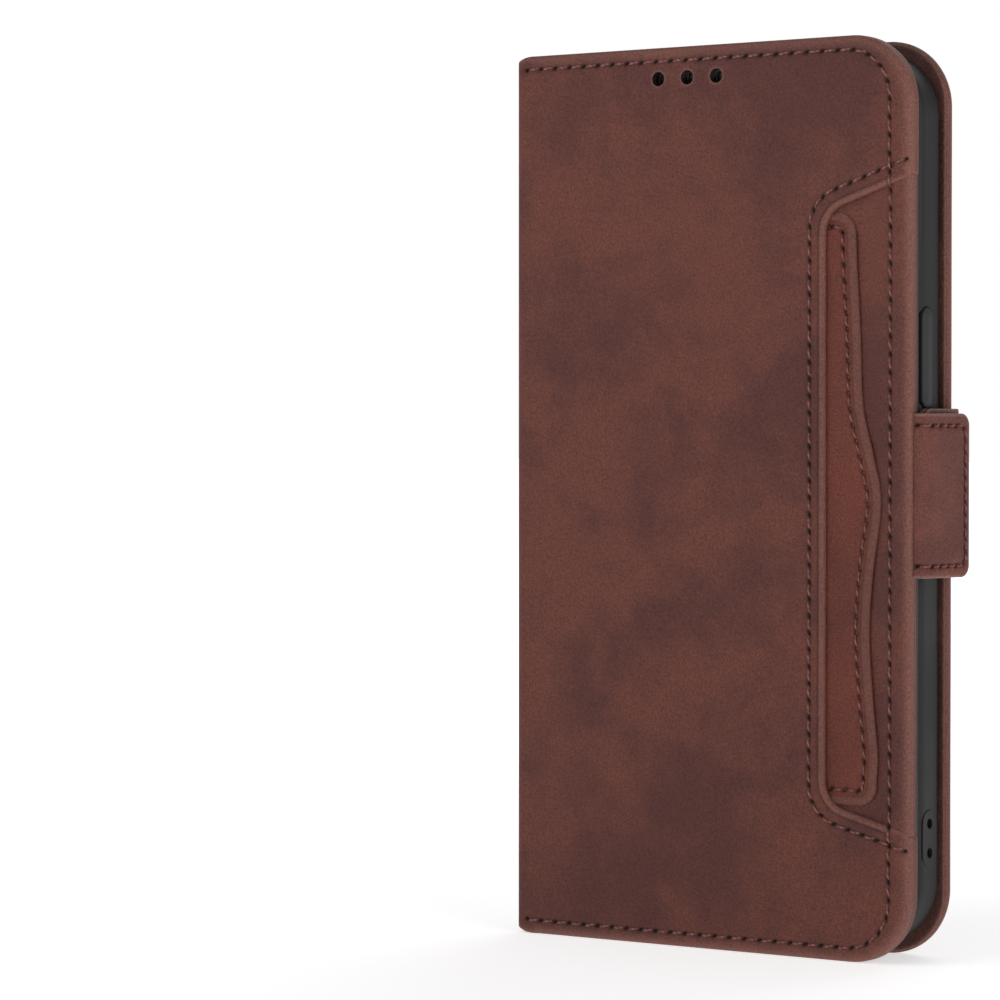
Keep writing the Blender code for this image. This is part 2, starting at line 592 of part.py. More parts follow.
# Closing tabs. Each is modelled along its own axis empty: X towards the tip, Y through the thickness
def closing_tab(name, axis, length, thick, outside, rise):
    """Two leather layers with a magnet between them and a round root on the fold axis."""
    middle = COVER_HEIGHT / 2 + TAB_ABOVE_MIDDLE + rise
    low, high = middle - TAB_HEIGHT / 2, middle + TAB_HEIGHT / 2
    root = thick / 2
    layer = outside * (root - TAB_SKIN)
    lining_face = layer - outside * SHEET_GAP
    section = (arc(0, 0, root, 90 * outside, 270 * outside)
               + [(root + SHEET_GAP, -outside * root), (root + SHEET_GAP, layer),
                  (length, layer), (length, outside * root)])
    skin = extruded(name + "_skin", [section], low, high, "Z")
    lining = extruded(name + "_lining", [rounded_rectangle(root + 2 * SHEET_GAP, low, length, high,
                                                           [SHEET_GAP, TAB_CORNER, TAB_CORNER, SHEET_GAP])],
                      *sorted((lining_face, -outside * root)))
    outline = rounded_rectangle(-thick, low, length, high, [SHEET_GAP, TAB_CORNER, TAB_CORNER, SHEET_GAP])
    limit = boolean(skin, cutter(name + "_outline", [outline], -thick, thick), "INTERSECT")
    magnet_left = (root + length - MAGNET_LENGTH) / 2
    magnet_low = middle - MAGNET_HEIGHT / 2
    pocket_floor = lining_face - outside * MAGNET_DEPTH

    def magnet_outline(grow):
        return rounded_rectangle(magnet_left - grow, magnet_low - grow, magnet_left + MAGNET_LENGTH + grow,
                                 magnet_low + MAGNET_HEIGHT + grow, [MM] * 4, 3)

    magnet = extruded(name + "_magnet", [magnet_outline(0)], *sorted((lining_face, pocket_floor)))
    pocket = boolean(lining, cutter(name + "_pocket", [magnet_outline(SHEET_GAP)],
                                    *sorted((pocket_floor - outside * SHEET_GAP, layer))))
    depth = outside * (root - THREAD_DEPTH)
    tip, side = length - TAB_SEAM_END, TAB_SEAM_SIDE
    line = ([(root, low + side)] + arc(tip - side, low + 2 * side, side, -90, 0, 3)
            + arc(tip - side, high - 2 * side, side, 0, 90, 3) + [(root, high - side)])
    seam(name + "_thread", [(x, depth, z) for x, z in line], [skin])
    finish(skin, LEATHER)
    finish(lining, LINING)
    finish(magnet, STEEL)
    thread, groove = bpy.data.objects[name + "_thread"], bpy.data.objects[name + "_thread_groove"]
    for piece in (skin, lining, magnet, thread, limit, pocket, groove):
        piece.parent = axis


closing_tab("front_tab", front_tab, FRONT_TAB_LENGTH, FRONT_TAB_THICK, -1, 0.0)
closing_tab("back_tab", back_tab, BACK_TAB_LENGTH, BACK_TAB_THICK, 1, BACK_TAB_RISE)

# Soft shell: a rounded tray with a lip, cut for the window, ports and buttons
shell_outline = rounded_rectangle(X_SHELL_LOW, SHELL_LOW, X_SHELL_HIGH, SHELL_LOW + SHELL_HEIGHT,
                                  [PHONE_CORNER + SHELL_WALL] * 4, 8)
shell = extruded("phone_shell", [shell_outline], Y_SHELL_FRONT, Y_SHELL_BACK)
rounding = shell.modifiers.new("rounding", "BEVEL")
rounding.width = SHELL_ROUNDING
rounding.segments = 3
rounding.limit_method = "ANGLE"
rounding.angle_limit = math.radians(60)


def cavity_outline(inset):
    """Outline of the phone's space, drawn in by an inset."""
    return rounded_rectangle(X_CAVITY_LOW + inset, CAVITY_LOW + inset, X_CAVITY_HIGH - inset,
                             CAVITY_LOW + CAVITY_HEIGHT - inset, [PHONE_CORNER - inset] * 4, 8)


def slot_outline(centre, middle, length, width, steps=4):
    """Round-ended slot, its length along the second axis."""
    return rounded_rectangle(centre - width / 2, middle - length / 2, centre + width / 2,
                             middle + length / 2, [width / 2 - SHEET_GAP] * 4, steps)


boolean(shell, cutter("phone_space", [cavity_outline(0)], Y_LIP, Y_SHELL_FLOOR))
boolean(shell, cutter("lip_opening", [cavity_outline(LIP_REACH)], Y_SHELL_FRONT - MM, Y_CAVITY_MIDDLE))
shell_window = rounded_rectangle(window_left + SHELL_RIM, window_low + SHELL_RIM, window_right - SHELL_RIM,
                                 window_high - SHELL_RIM, [WINDOW_CORNER - SHELL_RIM] * 4)
boolean(shell, cutter("shell_window", [shell_window], Y_CAVITY_MIDDLE, Y_SHELL_BACK + MM))
grille_offset = PORT_WIDTH / 2 + GRILLE_FROM_PORT + GRILLE_WIDTH / 2
for name, offset, width, depth in (("charging_port", 0, PORT_WIDTH, PORT_DEPTH),
                                   ("speaker_slot", grille_offset, GRILLE_WIDTH, GRILLE_DEPTH),
                                   ("microphone_slot", -grille_offset, GRILLE_WIDTH, GRILLE_DEPTH)):
    opening = [(x, y) for y, x in slot_outline(Y_CAVITY_MIDDLE, X_SHELL_MIDDLE + offset, width, depth)]
    boolean(shell, cutter(name, [opening], SHELL_LOW - MM, CAVITY_LOW + MM, "Z"))
for number, height in enumerate(LANYARD_HEIGHTS):
    hole = arc(Y_CAVITY_MIDDLE, height, LANYARD_RADIUS, 0, 330, 11)
    name = "lanyard_hole_%d" % (number + 1)
    boolean(shell, cutter(name, [hole], X_CAVITY_HIGH - MM, X_SHELL_HIGH + MM, "X"))
mute_outline = slot_outline(Y_CAVITY_MIDDLE, COVER_HEIGHT - MUTE_FROM_TOP, MUTE_LENGTH, BUTTON_WIDTH)
boolean(shell, cutter("mute_opening", [mute_outline], X_SHELL_LOW - MM, X_CAVITY_LOW + MM, "X"))


def button(name, from_top, length, inner, outward, proud):
    """Pad that slides in a slot through the shell's side wall and stands proud of it."""
    centre = COVER_HEIGHT - from_top
    outer = inner + outward * (SHELL_WALL + proud)
    pad = extruded(name, [slot_outline(Y_CAVITY_MIDDLE, centre, length, BUTTON_WIDTH)],
                   *sorted((inner, outer)), "X")
    edge = pad.modifiers.new("edge", "BEVEL")
    edge.width = BUTTON_EDGE
    edge.limit_method = "ANGLE"
    edge.angle_limit = math.radians(60)
    slot = slot_outline(Y_CAVITY_MIDDLE, centre, length + 2 * LOOSE_GAP, BUTTON_WIDTH + 2 * LOOSE_GAP)
    through = sorted((inner - outward * MM, outer + outward * MM))
    boolean(shell, cutter(name + "_slot", [slot], *through, "X"))
    finish(pad, BUTTON)


button("side_button_pad", SIDE_BUTTON_FROM_TOP, SIDE_BUTTON_LENGTH, X_CAVITY_HIGH, 1, SIDE_BUTTON_PROUD)
button("volume_up_pad", VOLUME_UP_FROM_TOP, VOLUME_LENGTH, X_CAVITY_LOW, -1, VOLUME_PROUD)
button("volume_down_pad", VOLUME_DOWN_FROM_TOP, VOLUME_LENGTH, X_CAVITY_LOW, -1, VOLUME_PROUD)
finish(shell, SHELL)
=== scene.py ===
"""Looks of the phone wallet case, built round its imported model. Metres, +Z up."""

import bmesh
import bpy
import numpy as np
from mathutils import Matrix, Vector, geometry


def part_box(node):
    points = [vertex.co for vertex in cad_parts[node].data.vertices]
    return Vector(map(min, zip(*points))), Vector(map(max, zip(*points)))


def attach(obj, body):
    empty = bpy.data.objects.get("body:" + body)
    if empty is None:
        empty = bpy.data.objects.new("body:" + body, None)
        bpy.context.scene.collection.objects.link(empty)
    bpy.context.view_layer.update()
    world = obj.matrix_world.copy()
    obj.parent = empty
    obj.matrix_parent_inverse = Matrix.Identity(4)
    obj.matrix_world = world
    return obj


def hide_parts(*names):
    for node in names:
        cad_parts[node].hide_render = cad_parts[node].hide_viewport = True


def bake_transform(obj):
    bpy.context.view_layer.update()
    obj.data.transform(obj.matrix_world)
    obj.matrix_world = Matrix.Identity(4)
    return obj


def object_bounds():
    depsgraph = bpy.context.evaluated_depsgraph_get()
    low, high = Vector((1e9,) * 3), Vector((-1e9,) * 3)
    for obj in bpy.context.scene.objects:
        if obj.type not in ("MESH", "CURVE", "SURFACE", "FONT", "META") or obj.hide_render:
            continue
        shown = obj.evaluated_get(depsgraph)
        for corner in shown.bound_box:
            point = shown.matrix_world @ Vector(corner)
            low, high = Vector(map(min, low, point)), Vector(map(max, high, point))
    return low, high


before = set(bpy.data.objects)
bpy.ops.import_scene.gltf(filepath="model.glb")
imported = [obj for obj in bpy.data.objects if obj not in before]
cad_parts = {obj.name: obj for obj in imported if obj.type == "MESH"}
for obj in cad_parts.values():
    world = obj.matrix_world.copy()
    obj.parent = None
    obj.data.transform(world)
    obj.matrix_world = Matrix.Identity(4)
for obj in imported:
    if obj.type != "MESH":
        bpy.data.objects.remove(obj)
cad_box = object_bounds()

MM = 0.001

# ---------------------------------------------------------------------------------------------
# Studio: the case stands on a wide pale floor under three large soft lights, with white all
# round. The camera looks slightly down on the front cover and on the free edge with its tabs.

scene = bpy.context.scene
scene.view_settings.view_transform = "Standard"
FLOOR_REACH = 8.0
CAMERA_PLACE = (0.3594, -0.5722, 0.0893)
CAMERA_TURN = np.radians((88.915, 0.0, 35.631))
CAMERA_LENS = 141.6
AMBIENT = 0.27
FLOOR_GLOW = {1: 0.06, 2: 0.6, 3: 0.55, 4: 1.0}      # distances near and far, then strengths there
SOFT_LIGHTS = {                        # place, side of the square, watts
    "key_light": ((-0.75, -1.35, 1.05), 1.3, 8.2),
    "side_light": ((1.55, -0.55, 0.55), 1.1, 7.6),
    "back_light": ((-0.2, 1.5, 1.25), 1.3, 7.0),
}


def plain_mesh(name, places, faces, material):
    """Object whose mesh is given by its corners' places and its faces, already in place."""
    mesh = bpy.data.meshes.new(name)
    mesh.from_pydata(np.asarray(places, float).tolist(), [], faces)
    mesh.materials.append(material)
    piece = bpy.data.objects.new(name, mesh)
    scene.collection.objects.link(piece)
    return piece


def tone(red, green, blue):
    """Linear colour of a swatch given by display values from 0 to 255."""
    value = np.array((red, green, blue)) / 255
    return tuple(np.where(value <= 0.04045, value / 12.92, ((value + 0.055) / 1.055) ** 2.4))


def new_material(name, roughness, colour=(0.5, 0.5, 0.5), **sockets):
    """Principled material; returns it with a maker of linked nodes and its shader."""
    material = bpy.data.materials.new(name)
    material.use_nodes = True
    tree = material.node_tree
    shader = tree.nodes["Principled BSDF"]
    shader.inputs["Roughness"].default_value = roughness
    shader.inputs["Base Color"].default_value = (*colour, 1)
    for socket, value in sockets.items():
        shader.inputs[socket.replace("_", " ")].default_value = value

    def node(kind, links=(), values=(), **settings):
        """Node of a kind, with inputs linked or set, each by its name or number."""
        made = tree.nodes.new("ShaderNode" + kind)
        for setting, value in settings.items():
            setattr(made, setting, value)
        for socket, source in dict(links).items():
            tree.links.new(source, made.inputs[socket])
        for socket, value in dict(values).items():
            made.inputs[socket].default_value = value
        return made

    node.link = tree.links.new
    return material, node, shader


floor_finish, node, shader = new_material("pale_floor", 0.8, (0.9, 0.9, 0.9))
far = node("VectorMath", {0: node("TexCoord").outputs["Object"]}, operation="LENGTH").outputs["Value"]
glow = node("MapRange", {0: far}, FLOOR_GLOW, interpolation_type="SMOOTHSTEP")
node.link(glow.outputs[0], shader.inputs["Emission Strength"])
shader.inputs["Emission Color"].default_value = (1, 1, 1, 1)
corners = [(-1, -1, 0), (1, -1, 0), (1, 1, 0), (-1, 1, 0)]
floor = plain_mesh("floor", np.array(corners) * FLOOR_REACH, [(0, 1, 2, 3)], floor_finish)

world = bpy.data.worlds.new("white_room")
scene.world = world
world.use_nodes = True
sky = world.node_tree.nodes["Background"]
sky.inputs["Color"].default_value = (1, 1, 1, 1)
sky.inputs["Strength"].default_value = AMBIENT
backdrop = world.node_tree.nodes.new("ShaderNodeBackground")
seen = world.node_tree.nodes.new("ShaderNodeLightPath")
both = world.node_tree.nodes.new("ShaderNodeMixShader")
world.node_tree.links.new(seen.outputs["Is Camera Ray"], both.inputs[0])
world.node_tree.links.new(sky.outputs[0], both.inputs[1])
world.node_tree.links.new(backdrop.outputs[0], both.inputs[2])
world.node_tree.links.new(both.outputs[0], world.node_tree.nodes["World Output"].inputs[0])
backdrop.inputs["Color"].default_value = (1, 1, 1, 1)

middle = Vector((0, 0, cad_box[1][2] / 2))
for name, (place, side, watts) in SOFT_LIGHTS.items():
    lamp = bpy.data.lights.new(name, "AREA")
    lamp.size = side
    lamp.energy = watts
    light = bpy.data.objects.new(name, lamp)
    light.location = place
    light.rotation_euler = (middle - light.location).to_track_quat("-Z", "Y").to_euler()
    light.visible_camera = False
    scene.collection.objects.link(light)

camera = bpy.data.objects.new("camera", bpy.data.cameras.new("camera"))
camera.location = CAMERA_PLACE
camera.rotation_euler = CAMERA_TURN
camera.data.lens = CAMERA_LENS
scene.collection.objects.link(camera)
scene.camera = camera

# ---------------------------------------------------------------------------------------------
# Outer leather, back half: one piece of soft coated leather runs over the back cover, round the
# fold and over half the spine. Its edges are turned in, and the camera window has a turned hem.

FOLD = 1.9 * MM
FOLD_DIP = 0.6 * MM
FOLD_DIP_REACH = 1.7 * MM
LEATHER_THICK = 0.8 * MM
EDGE_ROUND = 1.1 * MM
SPINE_EDGE_DEPTH = 1.2 * MM
BACK_EDGE_DEPTH = 2.0 * MM
COVER_CORNER = 11.5 * MM
STEP = 0.4 * MM
BEAD_WIDTH = 1.15 * MM
PITCH = 3.0 * MM
HOLE_SLANT = np.radians(24)
WINDOW_SIZE = np.array((42.3, 40.1)) * MM
WINDOW_CORNER = 10.0 * MM
WINDOW_DEPTH, WINDOW_ROUND = 1.9 * MM, 0.75 * MM
WINDOW_SIDE = 5.3 * MM
WINDOW_TOP = 4.1 * MM
SEAM_EDGE, SEAM_END, SEAM_CORNER = 4.0 * MM, 2.4 * MM, 8.0 * MM

spine_low, spine_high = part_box("spine_skin")
back_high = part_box("back_skin")[1]
HEIGHT = spine_high.z
STRAIGHT = spine_high.y - FOLD
FOLD_END = STRAIGHT + FOLD * np.pi / 2


def across(x):
    """Distance over the leather from the spine's middle line to a cover's place x."""
    return FOLD_END + x - spine_low.x - FOLD


def smooth(value):
    """Smooth rise from 0 to 1 as the value goes from 0 to 1."""
    value = np.clip(value, 0, 1)
    return value * value * (3 - 2 * value)


def swell(points):
    """Slight unevenness of leather over its board: two crossing waves, none at the spine."""
    a, z = points[:, 0] / MM, points[:, 1] / MM
    waves = np.sin(a / 9 + 0.8 * np.sin(z / 19)) * np.sin(z / 14 + 0.6 * np.sin(a / 12))
    return 0.045 * MM * waves * smooth((a - 14) / 12)


def wrapped(side, depth=0.0):
    """Places on the case's outside, side +1 at the back and -1 at the front. The first number
    runs straight over the spine, round a quarter circle and along the cover; the second is the
    height, drawn in slightly at the fold's ends; the third is the rise out of the leather."""
    def place(points, rise):
        a, z = points[:, 0], points[:, 1]
        turn = np.clip((a - STRAIGHT) / FOLD, 0, np.pi / 2)
        out = FOLD + rise - depth
        dip = FOLD_DIP * np.exp(-((a - (STRAIGHT + FOLD_END) / 2) / FOLD_DIP_REACH) ** 2)
        x = spine_low.x + FOLD - out * np.cos(turn) + np.maximum(a - FOLD_END, 0)
        y = np.minimum(a, STRAIGHT) + out * np.sin(turn)
        return np.stack((x, side * y, z + dip * (1 - 2 * z / HEIGHT)), -1)
    return place


def even(path, step, closed=False):
    """The same path with points an even step apart, read off along its length."""
    path = np.vstack((path, path[:1])) if closed else np.asarray(path)
    run = np.concatenate(([0], np.cumsum(np.linalg.norm(np.diff(path, axis=0), axis=1))))
    at = np.linspace(0, run[-1], max(round(run[-1] / step), 3) + 1)
    points = np.stack([np.interp(at, run, path[:, i]) for i in (0, 1)], -1)
    return points[:-1] if closed else points


def rounded(corners, radii, step=STEP, closed=False):
    """Path through the corners, each rounded by the arc of its radius that touches both sides."""
    corners = np.asarray(corners, float)
    path = []
    for i, radius in enumerate(radii):
        if radius == 0:
            path.append(corners[i:i + 1])
            continue
        back, on = corners[i - 1] - corners[i], corners[(i + 1) % len(corners)] - corners[i]
        back, on = back / np.linalg.norm(back), on / np.linalg.norm(on)
        half = np.arccos(back @ on) / 2
        centre = corners[i] + (back + on) / np.linalg.norm(back + on) * radius / np.sin(half)
        start = corners[i] + back * radius / np.tan(half) - centre
        turn = np.sign(back[1] * on[0] - back[0] * on[1]) * (np.pi - 2 * half)
        angles = np.arctan2(start[1], start[0]) + turn * np.linspace(0, 1, 25)
        path.append(centre + radius * np.stack((np.cos(angles), np.sin(angles)), -1))
    return even(np.concatenate(path), step, closed)


def box_path(low, high, radius, step=STEP, hole=False):
    """Rounded rectangle, anticlockwise, or clockwise where it is a hole."""
    corners = [low, (high[0], low[1]), high, (low[0], high[1])]
    return rounded(corners[::-1] if hole else corners, [radius] * 4, step, True)


def left_of(path, closed=False):
    """Unit vectors to the left of the way that the path runs."""
    along = np.roll(path, -1, 0) - np.roll(path, 1, 0) if closed else np.gradient(path, axis=0)
    along = along / np.linalg.norm(along, axis=1, keepdims=True)
    return np.stack((-along[:, 1], along[:, 0]), -1)


def nearest(points, path, closed=False):
    """For each point: its distance from the path, how far along the path its nearest place is,
    its side, +1 on the left, and the number of the nearest stretch."""
    starts, ends = (path, np.roll(path, -1, 0)) if closed else (path[:-1], path[1:])
    along = ends - starts
    length = np.linalg.norm(along, axis=1)
    run = np.cumsum(length) - length
    found = []
    for block in np.array_split(points, len(points) // 2000 + 1):
        gap = block[:, None] - starts
        share = np.clip((gap * along).sum(-1) / length ** 2, 0, 1)
        gap -= share[..., None] * along
        away = (gap ** 2).sum(-1)
        best = away.argmin(1)
        row = np.arange(len(best))
        turn = along[best, 0] * gap[row, best, 1] - along[best, 1] * gap[row, best, 0]
        found.append(np.stack((np.sqrt(away[row, best]), run[best] + share[row, best] * length[best],
                               np.where(turn < 0, -1, 1), best), -1))
    away, run, side, best = np.concatenate(found).T
    return away, run, side, best.astype(int)


def within(points, loop):
    """Whether each point is inside the loop: a line to its right crosses an odd number of sides."""
    after = np.roll(loop, -1, 0)
    inside = np.zeros(len(points), bool)
    for block in np.array_split(np.arange(len(points)), len(points) // 2000 + 1):
        x, z = points[block, 0, None], points[block, 1, None]
        spans = (loop[:, 1] > z) != (after[:, 1] > z)
        rise = np.where(after[:, 1] == loop[:, 1], 1, after[:, 1] - loop[:, 1])
        cross = loop[:, 0] + (z - loop[:, 1]) * (after[:, 0] - loop[:, 0]) / rise
        inside[block] = (spans & (x < cross)).sum(1) % 2 == 1
    return inside


def close_up(piece, sharp=40):
    """Turns every face of a closed piece outwards, and shades it smooth apart from its corners."""
    shape = bmesh.new()
    shape.from_mesh(piece.data)
    bmesh.ops.recalc_face_normals(shape, faces=shape.faces)
    shape.to_mesh(piece.data)
    shape.free()
    piece.data.shade_smooth()
    piece.data.set_sharp_from_angle(angle=np.radians(sharp))


def border(path, depth, edge_round=EDGE_ROUND, bead=0.0, closed=True, bead_width=BEAD_WIDTH,
           dark=0.0):
    """Edge of a sheet: how deep it turns in, how round it is, where it is a rolled bead, and how much
    painted shade (dark) darkens its rim and wall, as inside a punched hole.
    """
    edge = {"path": path, "closed": closed, "left": left_of(path, closed), "width": bead_width,
            "dark": dark}
    for key, value in (("depth", depth), ("round", edge_round), ("bead", bead)):
        edge[key] = np.broadcast_to(np.asarray(value, float), len(path))
    return edge


BEAD_RISE, CREASE_DEPTH, CREASE_WIDTH = 0.13 * MM, 0.09 * MM, 0.17 * MM
GROOVE_DEPTH, GROOVE_WIDTH = 0.14 * MM, 0.55 * MM
HOLE_DEPTH, HOLE_LENGTH, HOLE_WIDTH = 0.40 * MM, 0.58 * MM, 0.28 * MM
EDGE_WEAR, BEAD_WEAR = 0.85, 0.6
CREASE_SHADE = 0.35


def relief(points, borders, seams, level):
    """Rise, wear and painted shade of a sheet's face. The face rounds down to its edges by a quarter
    circle; a bead swells beside its edge and ends in a crease; a seam lies in a shallow groove,
    with a slanted needle hole at each pitch. The painted shade darkens the needle holes, the
    crease beside a bead and the rim of a punched hole."""
    rise = level(points)
    worn, painted_shade = np.zeros(len(points)), np.zeros(len(points))
    for edge in borders:
        away, _, _, at = nearest(points, edge["path"], edge["closed"])
        bead, radius, width = edge["bead"][at], edge["round"][at], edge["width"]
        near = np.clip(1 - away / radius, 0, 1)
        rise = rise - radius * (1 - np.sqrt(1 - near ** 2))
        crease = np.exp(-((away - width - 0.08 * MM) / CREASE_WIDTH) ** 2)
        rise += bead * (BEAD_RISE * np.sin(np.pi * np.clip(away / width, 0, 1)) ** 2
                        - CREASE_DEPTH * crease)
        turned = EDGE_WEAR * np.exp(-(away / (1.1 * radius + 0.1 * MM)) ** 2)
        rolled = 1 - smooth((away - width + 0.35 * MM) / (0.4 * MM))
        worn = np.maximum(worn, (1 - bead) * turned + BEAD_WEAR * bead * rolled)
        # Painted shade: the crease beside a bead and the rim of a punched hole are darkened.
        painted_shade = np.maximum(painted_shade, CREASE_SHADE * bead * crease)
        painted_shade = np.maximum(painted_shade, edge["dark"] * (1 - smooth((away - 0.1 * MM) / (0.12 * MM))))
    for path, pitch in seams:
        away, run, side, _ = nearest(points, path)
        off = run - np.round(run / pitch) * pitch
        slant = np.array((np.cos(HOLE_SLANT), np.sin(HOLE_SLANT)))
        long = (off * slant[0] + side * away * slant[1]) / HOLE_LENGTH
        wide = (side * away * slant[0] - off * slant[1]) / HOLE_WIDTH
        hole = np.exp(-long ** 2 - wide ** 2)
        rise = rise - GROOVE_DEPTH * np.exp(-(away / GROOVE_WIDTH) ** 2) - HOLE_DEPTH * hole
        # Painted shade, nearly black, in each needle hole.
        painted_shade = np.maximum(painted_shade, np.minimum(1.35 * hole, 1))
    return rise, worn, painted_shade


def triangles(points, loops, extra=None):
    """Delaunay triangles of the loops' points and the others, inside the first loop and outside
    the rest. The loops' points keep their numbers."""
    links, start = [], 0
    for loop in loops:
        row = np.arange(len(loop))
        links.append(np.stack((row, (row + 1) % len(loop)), -1) + start)
        start += len(loop)
    every = np.concatenate((points, extra)) if extra is not None else points
    made = geometry.delaunay_2d_cdt((every / MM).tolist(), np.concatenate(links).tolist(), [], 0,
                                    1e-6, False)
    flat = np.array([tuple(p) for p in made[0]]) * MM
    flat[:len(points)] = points
    faces = np.array(made[2])
    centres = flat[faces].mean(1)
    keep = within(centres, loops[0])
    for hole in loops[1:]:
        keep &= ~within(centres, hole)
    return flat, faces[keep]


def edge_rings(borders, thick, level):
    """Rings of points that take an edge down its side, round under it, in, and up again to the
    inner face. Each ring has an inset, a rise and a wear; a bead is worn all round."""
    rings, rises, wears = [], [], []
    for edge in borders:
        depth, radius, bead = edge["depth"], edge["round"], edge["bead"]
        under = np.minimum(0.5 * MM, 0.45 * (depth - radius))
        wall = np.minimum(0.85 * MM, under + 0.35 * MM)
        steps = ((0 * under, -(depth + radius - under) / 2, 0.45), (0 * under, under - depth, 0.4),
                 (0.134 * under, -depth + 0.5 * under, 0.55),
                 (0.5 * under, -depth + 0.134 * under, 0.85), (under, -depth, 1.0),
                 (wall - 0.1 * MM, -depth, 0.6), (wall, np.minimum(0.1 * MM - depth, -thick), 0.3),
                 (wall, -np.minimum(thick + 0.05 * MM, depth), 0.1),
                 (wall + 0.2 * MM, -thick + 0 * depth, 0))
        inset = np.stack([step[0] for step in steps])
        rise = np.stack([step[1] for step in steps])
        rings.append(edge["path"] + edge["left"] * inset[..., None])
        rises.append(rise + level(edge["path"]))
        wear = np.stack([np.full(len(depth), step[2]) for step in steps])
        wears.append(wear * (1 - bead) + bead * np.minimum(wear + 0.4, 1))
    rises = np.concatenate(rises, 1)
    return np.concatenate(rings, 1), rises, np.concatenate(wears, 1)


EDGE_OFFSETS = np.array((0.04, 0.11, 0.2, 0.32, 0.46, 0.62, 0.83, 1.1, 1.25, 1.38, 1.55, 1.9)) * MM
SEAM_OFFSETS = np.array((-1.2, -0.7, -0.45, -0.28, -0.14, 0, 0.14, 0.28, 0.45, 0.7, 1.2)) * MM
SEAM_STEP, SEAM_ROOM = 0.25 * MM, 0.1 * MM


def sheet_piece(name, place, borders, material, seams=(), level=None, columns=(),
                thick=LEATHER_THICK, spacing=4 * MM):
    """Closed piece of sheet. Its face is relief() on a triangulated net that is fine along the
    edges and the seams; at each edge it turns down, in and back up to its plain inner face."""
    level = level or (lambda points: np.zeros(len(points)))
    outer = borders[0]
    rim = np.concatenate([edge["path"] for edge in borders])
    points, room = [], []
    for edge in borders:
        for offset in EDGE_OFFSETS:
            points.append(edge["path"] + edge["left"] * offset)
            room.append(np.full(len(edge["path"]), 0.96 * offset))
    for path, _ in seams:
        fine = even(path, SEAM_STEP)
        for offset in SEAM_OFFSETS:
            points.append(fine + left_of(fine) * offset)
            room.append(np.full(len(fine), SEAM_ROOM))
    low, high = rim.min(0), rim.max(0)
    if len(columns):
        rows = np.arange(low[1] + 2.2 * MM, high[1] - 2.1 * MM, 2 * MM)
        points.append(np.stack(np.meshgrid(columns, rows), -1).reshape(-1, 2))
        room.append(np.full(len(points[-1]), 2 * MM))
    reach = max(columns) + 1 * MM if len(columns) else low[0]
    across_grid = np.arange(reach, high[0], spacing)
    net = np.stack(np.meshgrid(across_grid, np.arange(low[1], high[1], spacing)), -1).reshape(-1, 2)
    for path, _ in seams:
        net = net[nearest(net, path)[0] > 1.5 * MM]
    points.append(net)
    room.append(np.full(len(net), 2.1 * MM))
    points, room = np.concatenate(points), np.concatenate(room)
    keep = within(points, outer["path"])
    if not outer["closed"]:
        keep |= (points[:, 0] <= low[0] + 1e-9) & (points[:, 1] > low[1]) & (points[:, 1] < high[1])
        keep &= points[:, 0] >= low[0] - 1e-9
    for edge in borders:
        keep &= nearest(points, edge["path"], edge["closed"])[0] >= room
    for edge in borders[1:]:
        keep &= ~within(points, edge["path"])
    loops = [edge["path"] for edge in borders]
    face, face_faces = triangles(rim, loops, points[keep])
    rise, worn, painted_shade = relief(face, borders, seams, level)
    rings, ring_rise, ring_worn = edge_rings(borders, thick, level)
    inner = rings[-1]
    count, rows = len(rim), len(rings)
    inner_loops = np.split(inner, np.cumsum([len(loop) for loop in loops])[:-1])
    spare = points[keep & (np.isin(points[:, 0], columns))] if len(columns) else points[:0]
    for edge in borders:
        spare = spare[nearest(spare, edge["path"], edge["closed"])[0] > 1.5 * MM]
    under, under_faces = triangles(inner, inner_loops, spare)
    under = under[count:]
    first_ring = len(face)
    first_under = first_ring + rows * count
    flat = np.concatenate((face, rings.reshape(-1, 2), under))
    under_level = level(under) - thick
    every_rise = np.concatenate((rise, ring_rise.reshape(-1), under_level))
    every_worn = np.concatenate((worn, ring_worn.reshape(-1), np.zeros(len(under))))
    # Painted shade down the walls of punched holes.
    ring_dark = np.concatenate([np.full(len(edge["path"]), edge["dark"]) for edge in borders])
    dark = np.concatenate((painted_shade, np.tile(ring_dark, rows), np.zeros(len(under))))
    faces = face_faces.tolist()
    under_index = np.where(under_faces < count, under_faces + first_under - count,
                           under_faces - count + first_under)
    faces += under_index[:, ::-1].tolist()
    ring_index = np.arange(rows * count).reshape(rows, count) + first_ring
    ring_index = np.vstack((np.arange(count), ring_index))
    start = 0
    for edge in borders:
        size = len(edge["path"])
        here = np.arange(size if edge["closed"] else size - 1) + start
        after = (here - start + 1) % size + start
        for upper, lower in zip(ring_index, ring_index[1:]):
            faces += np.stack((upper[here], lower[here], lower[after], upper[after]), -1).tolist()
        start += size
    if not outer["closed"]:
        last = len(outer["path"]) - 1
        top = np.flatnonzero((np.abs(face[:, 0] - low[0]) < 1e-9))
        base = np.flatnonzero((np.abs(under[:, 0] - low[0]) < 1e-9)) + first_under
        top = top[np.argsort(face[top, 1])]
        base = base[np.argsort(-under[base - first_under, 1])]
        faces.append(np.concatenate((top, ring_index[1:, last], base, ring_index[:0:-1, 0])).tolist())
    piece = plain_mesh(name, place(flat, every_rise), faces, material)
    close_up(piece)
    # Stored per point: edge wear, and painted shade for holes and creases.
    for key, values in (("worn", every_worn), ("painted_shade", dark)):
        attribute = piece.data.attributes.new(key, "FLOAT", "POINT")
        attribute.data.foreach_set("value", values.astype(np.float32))
    return piece


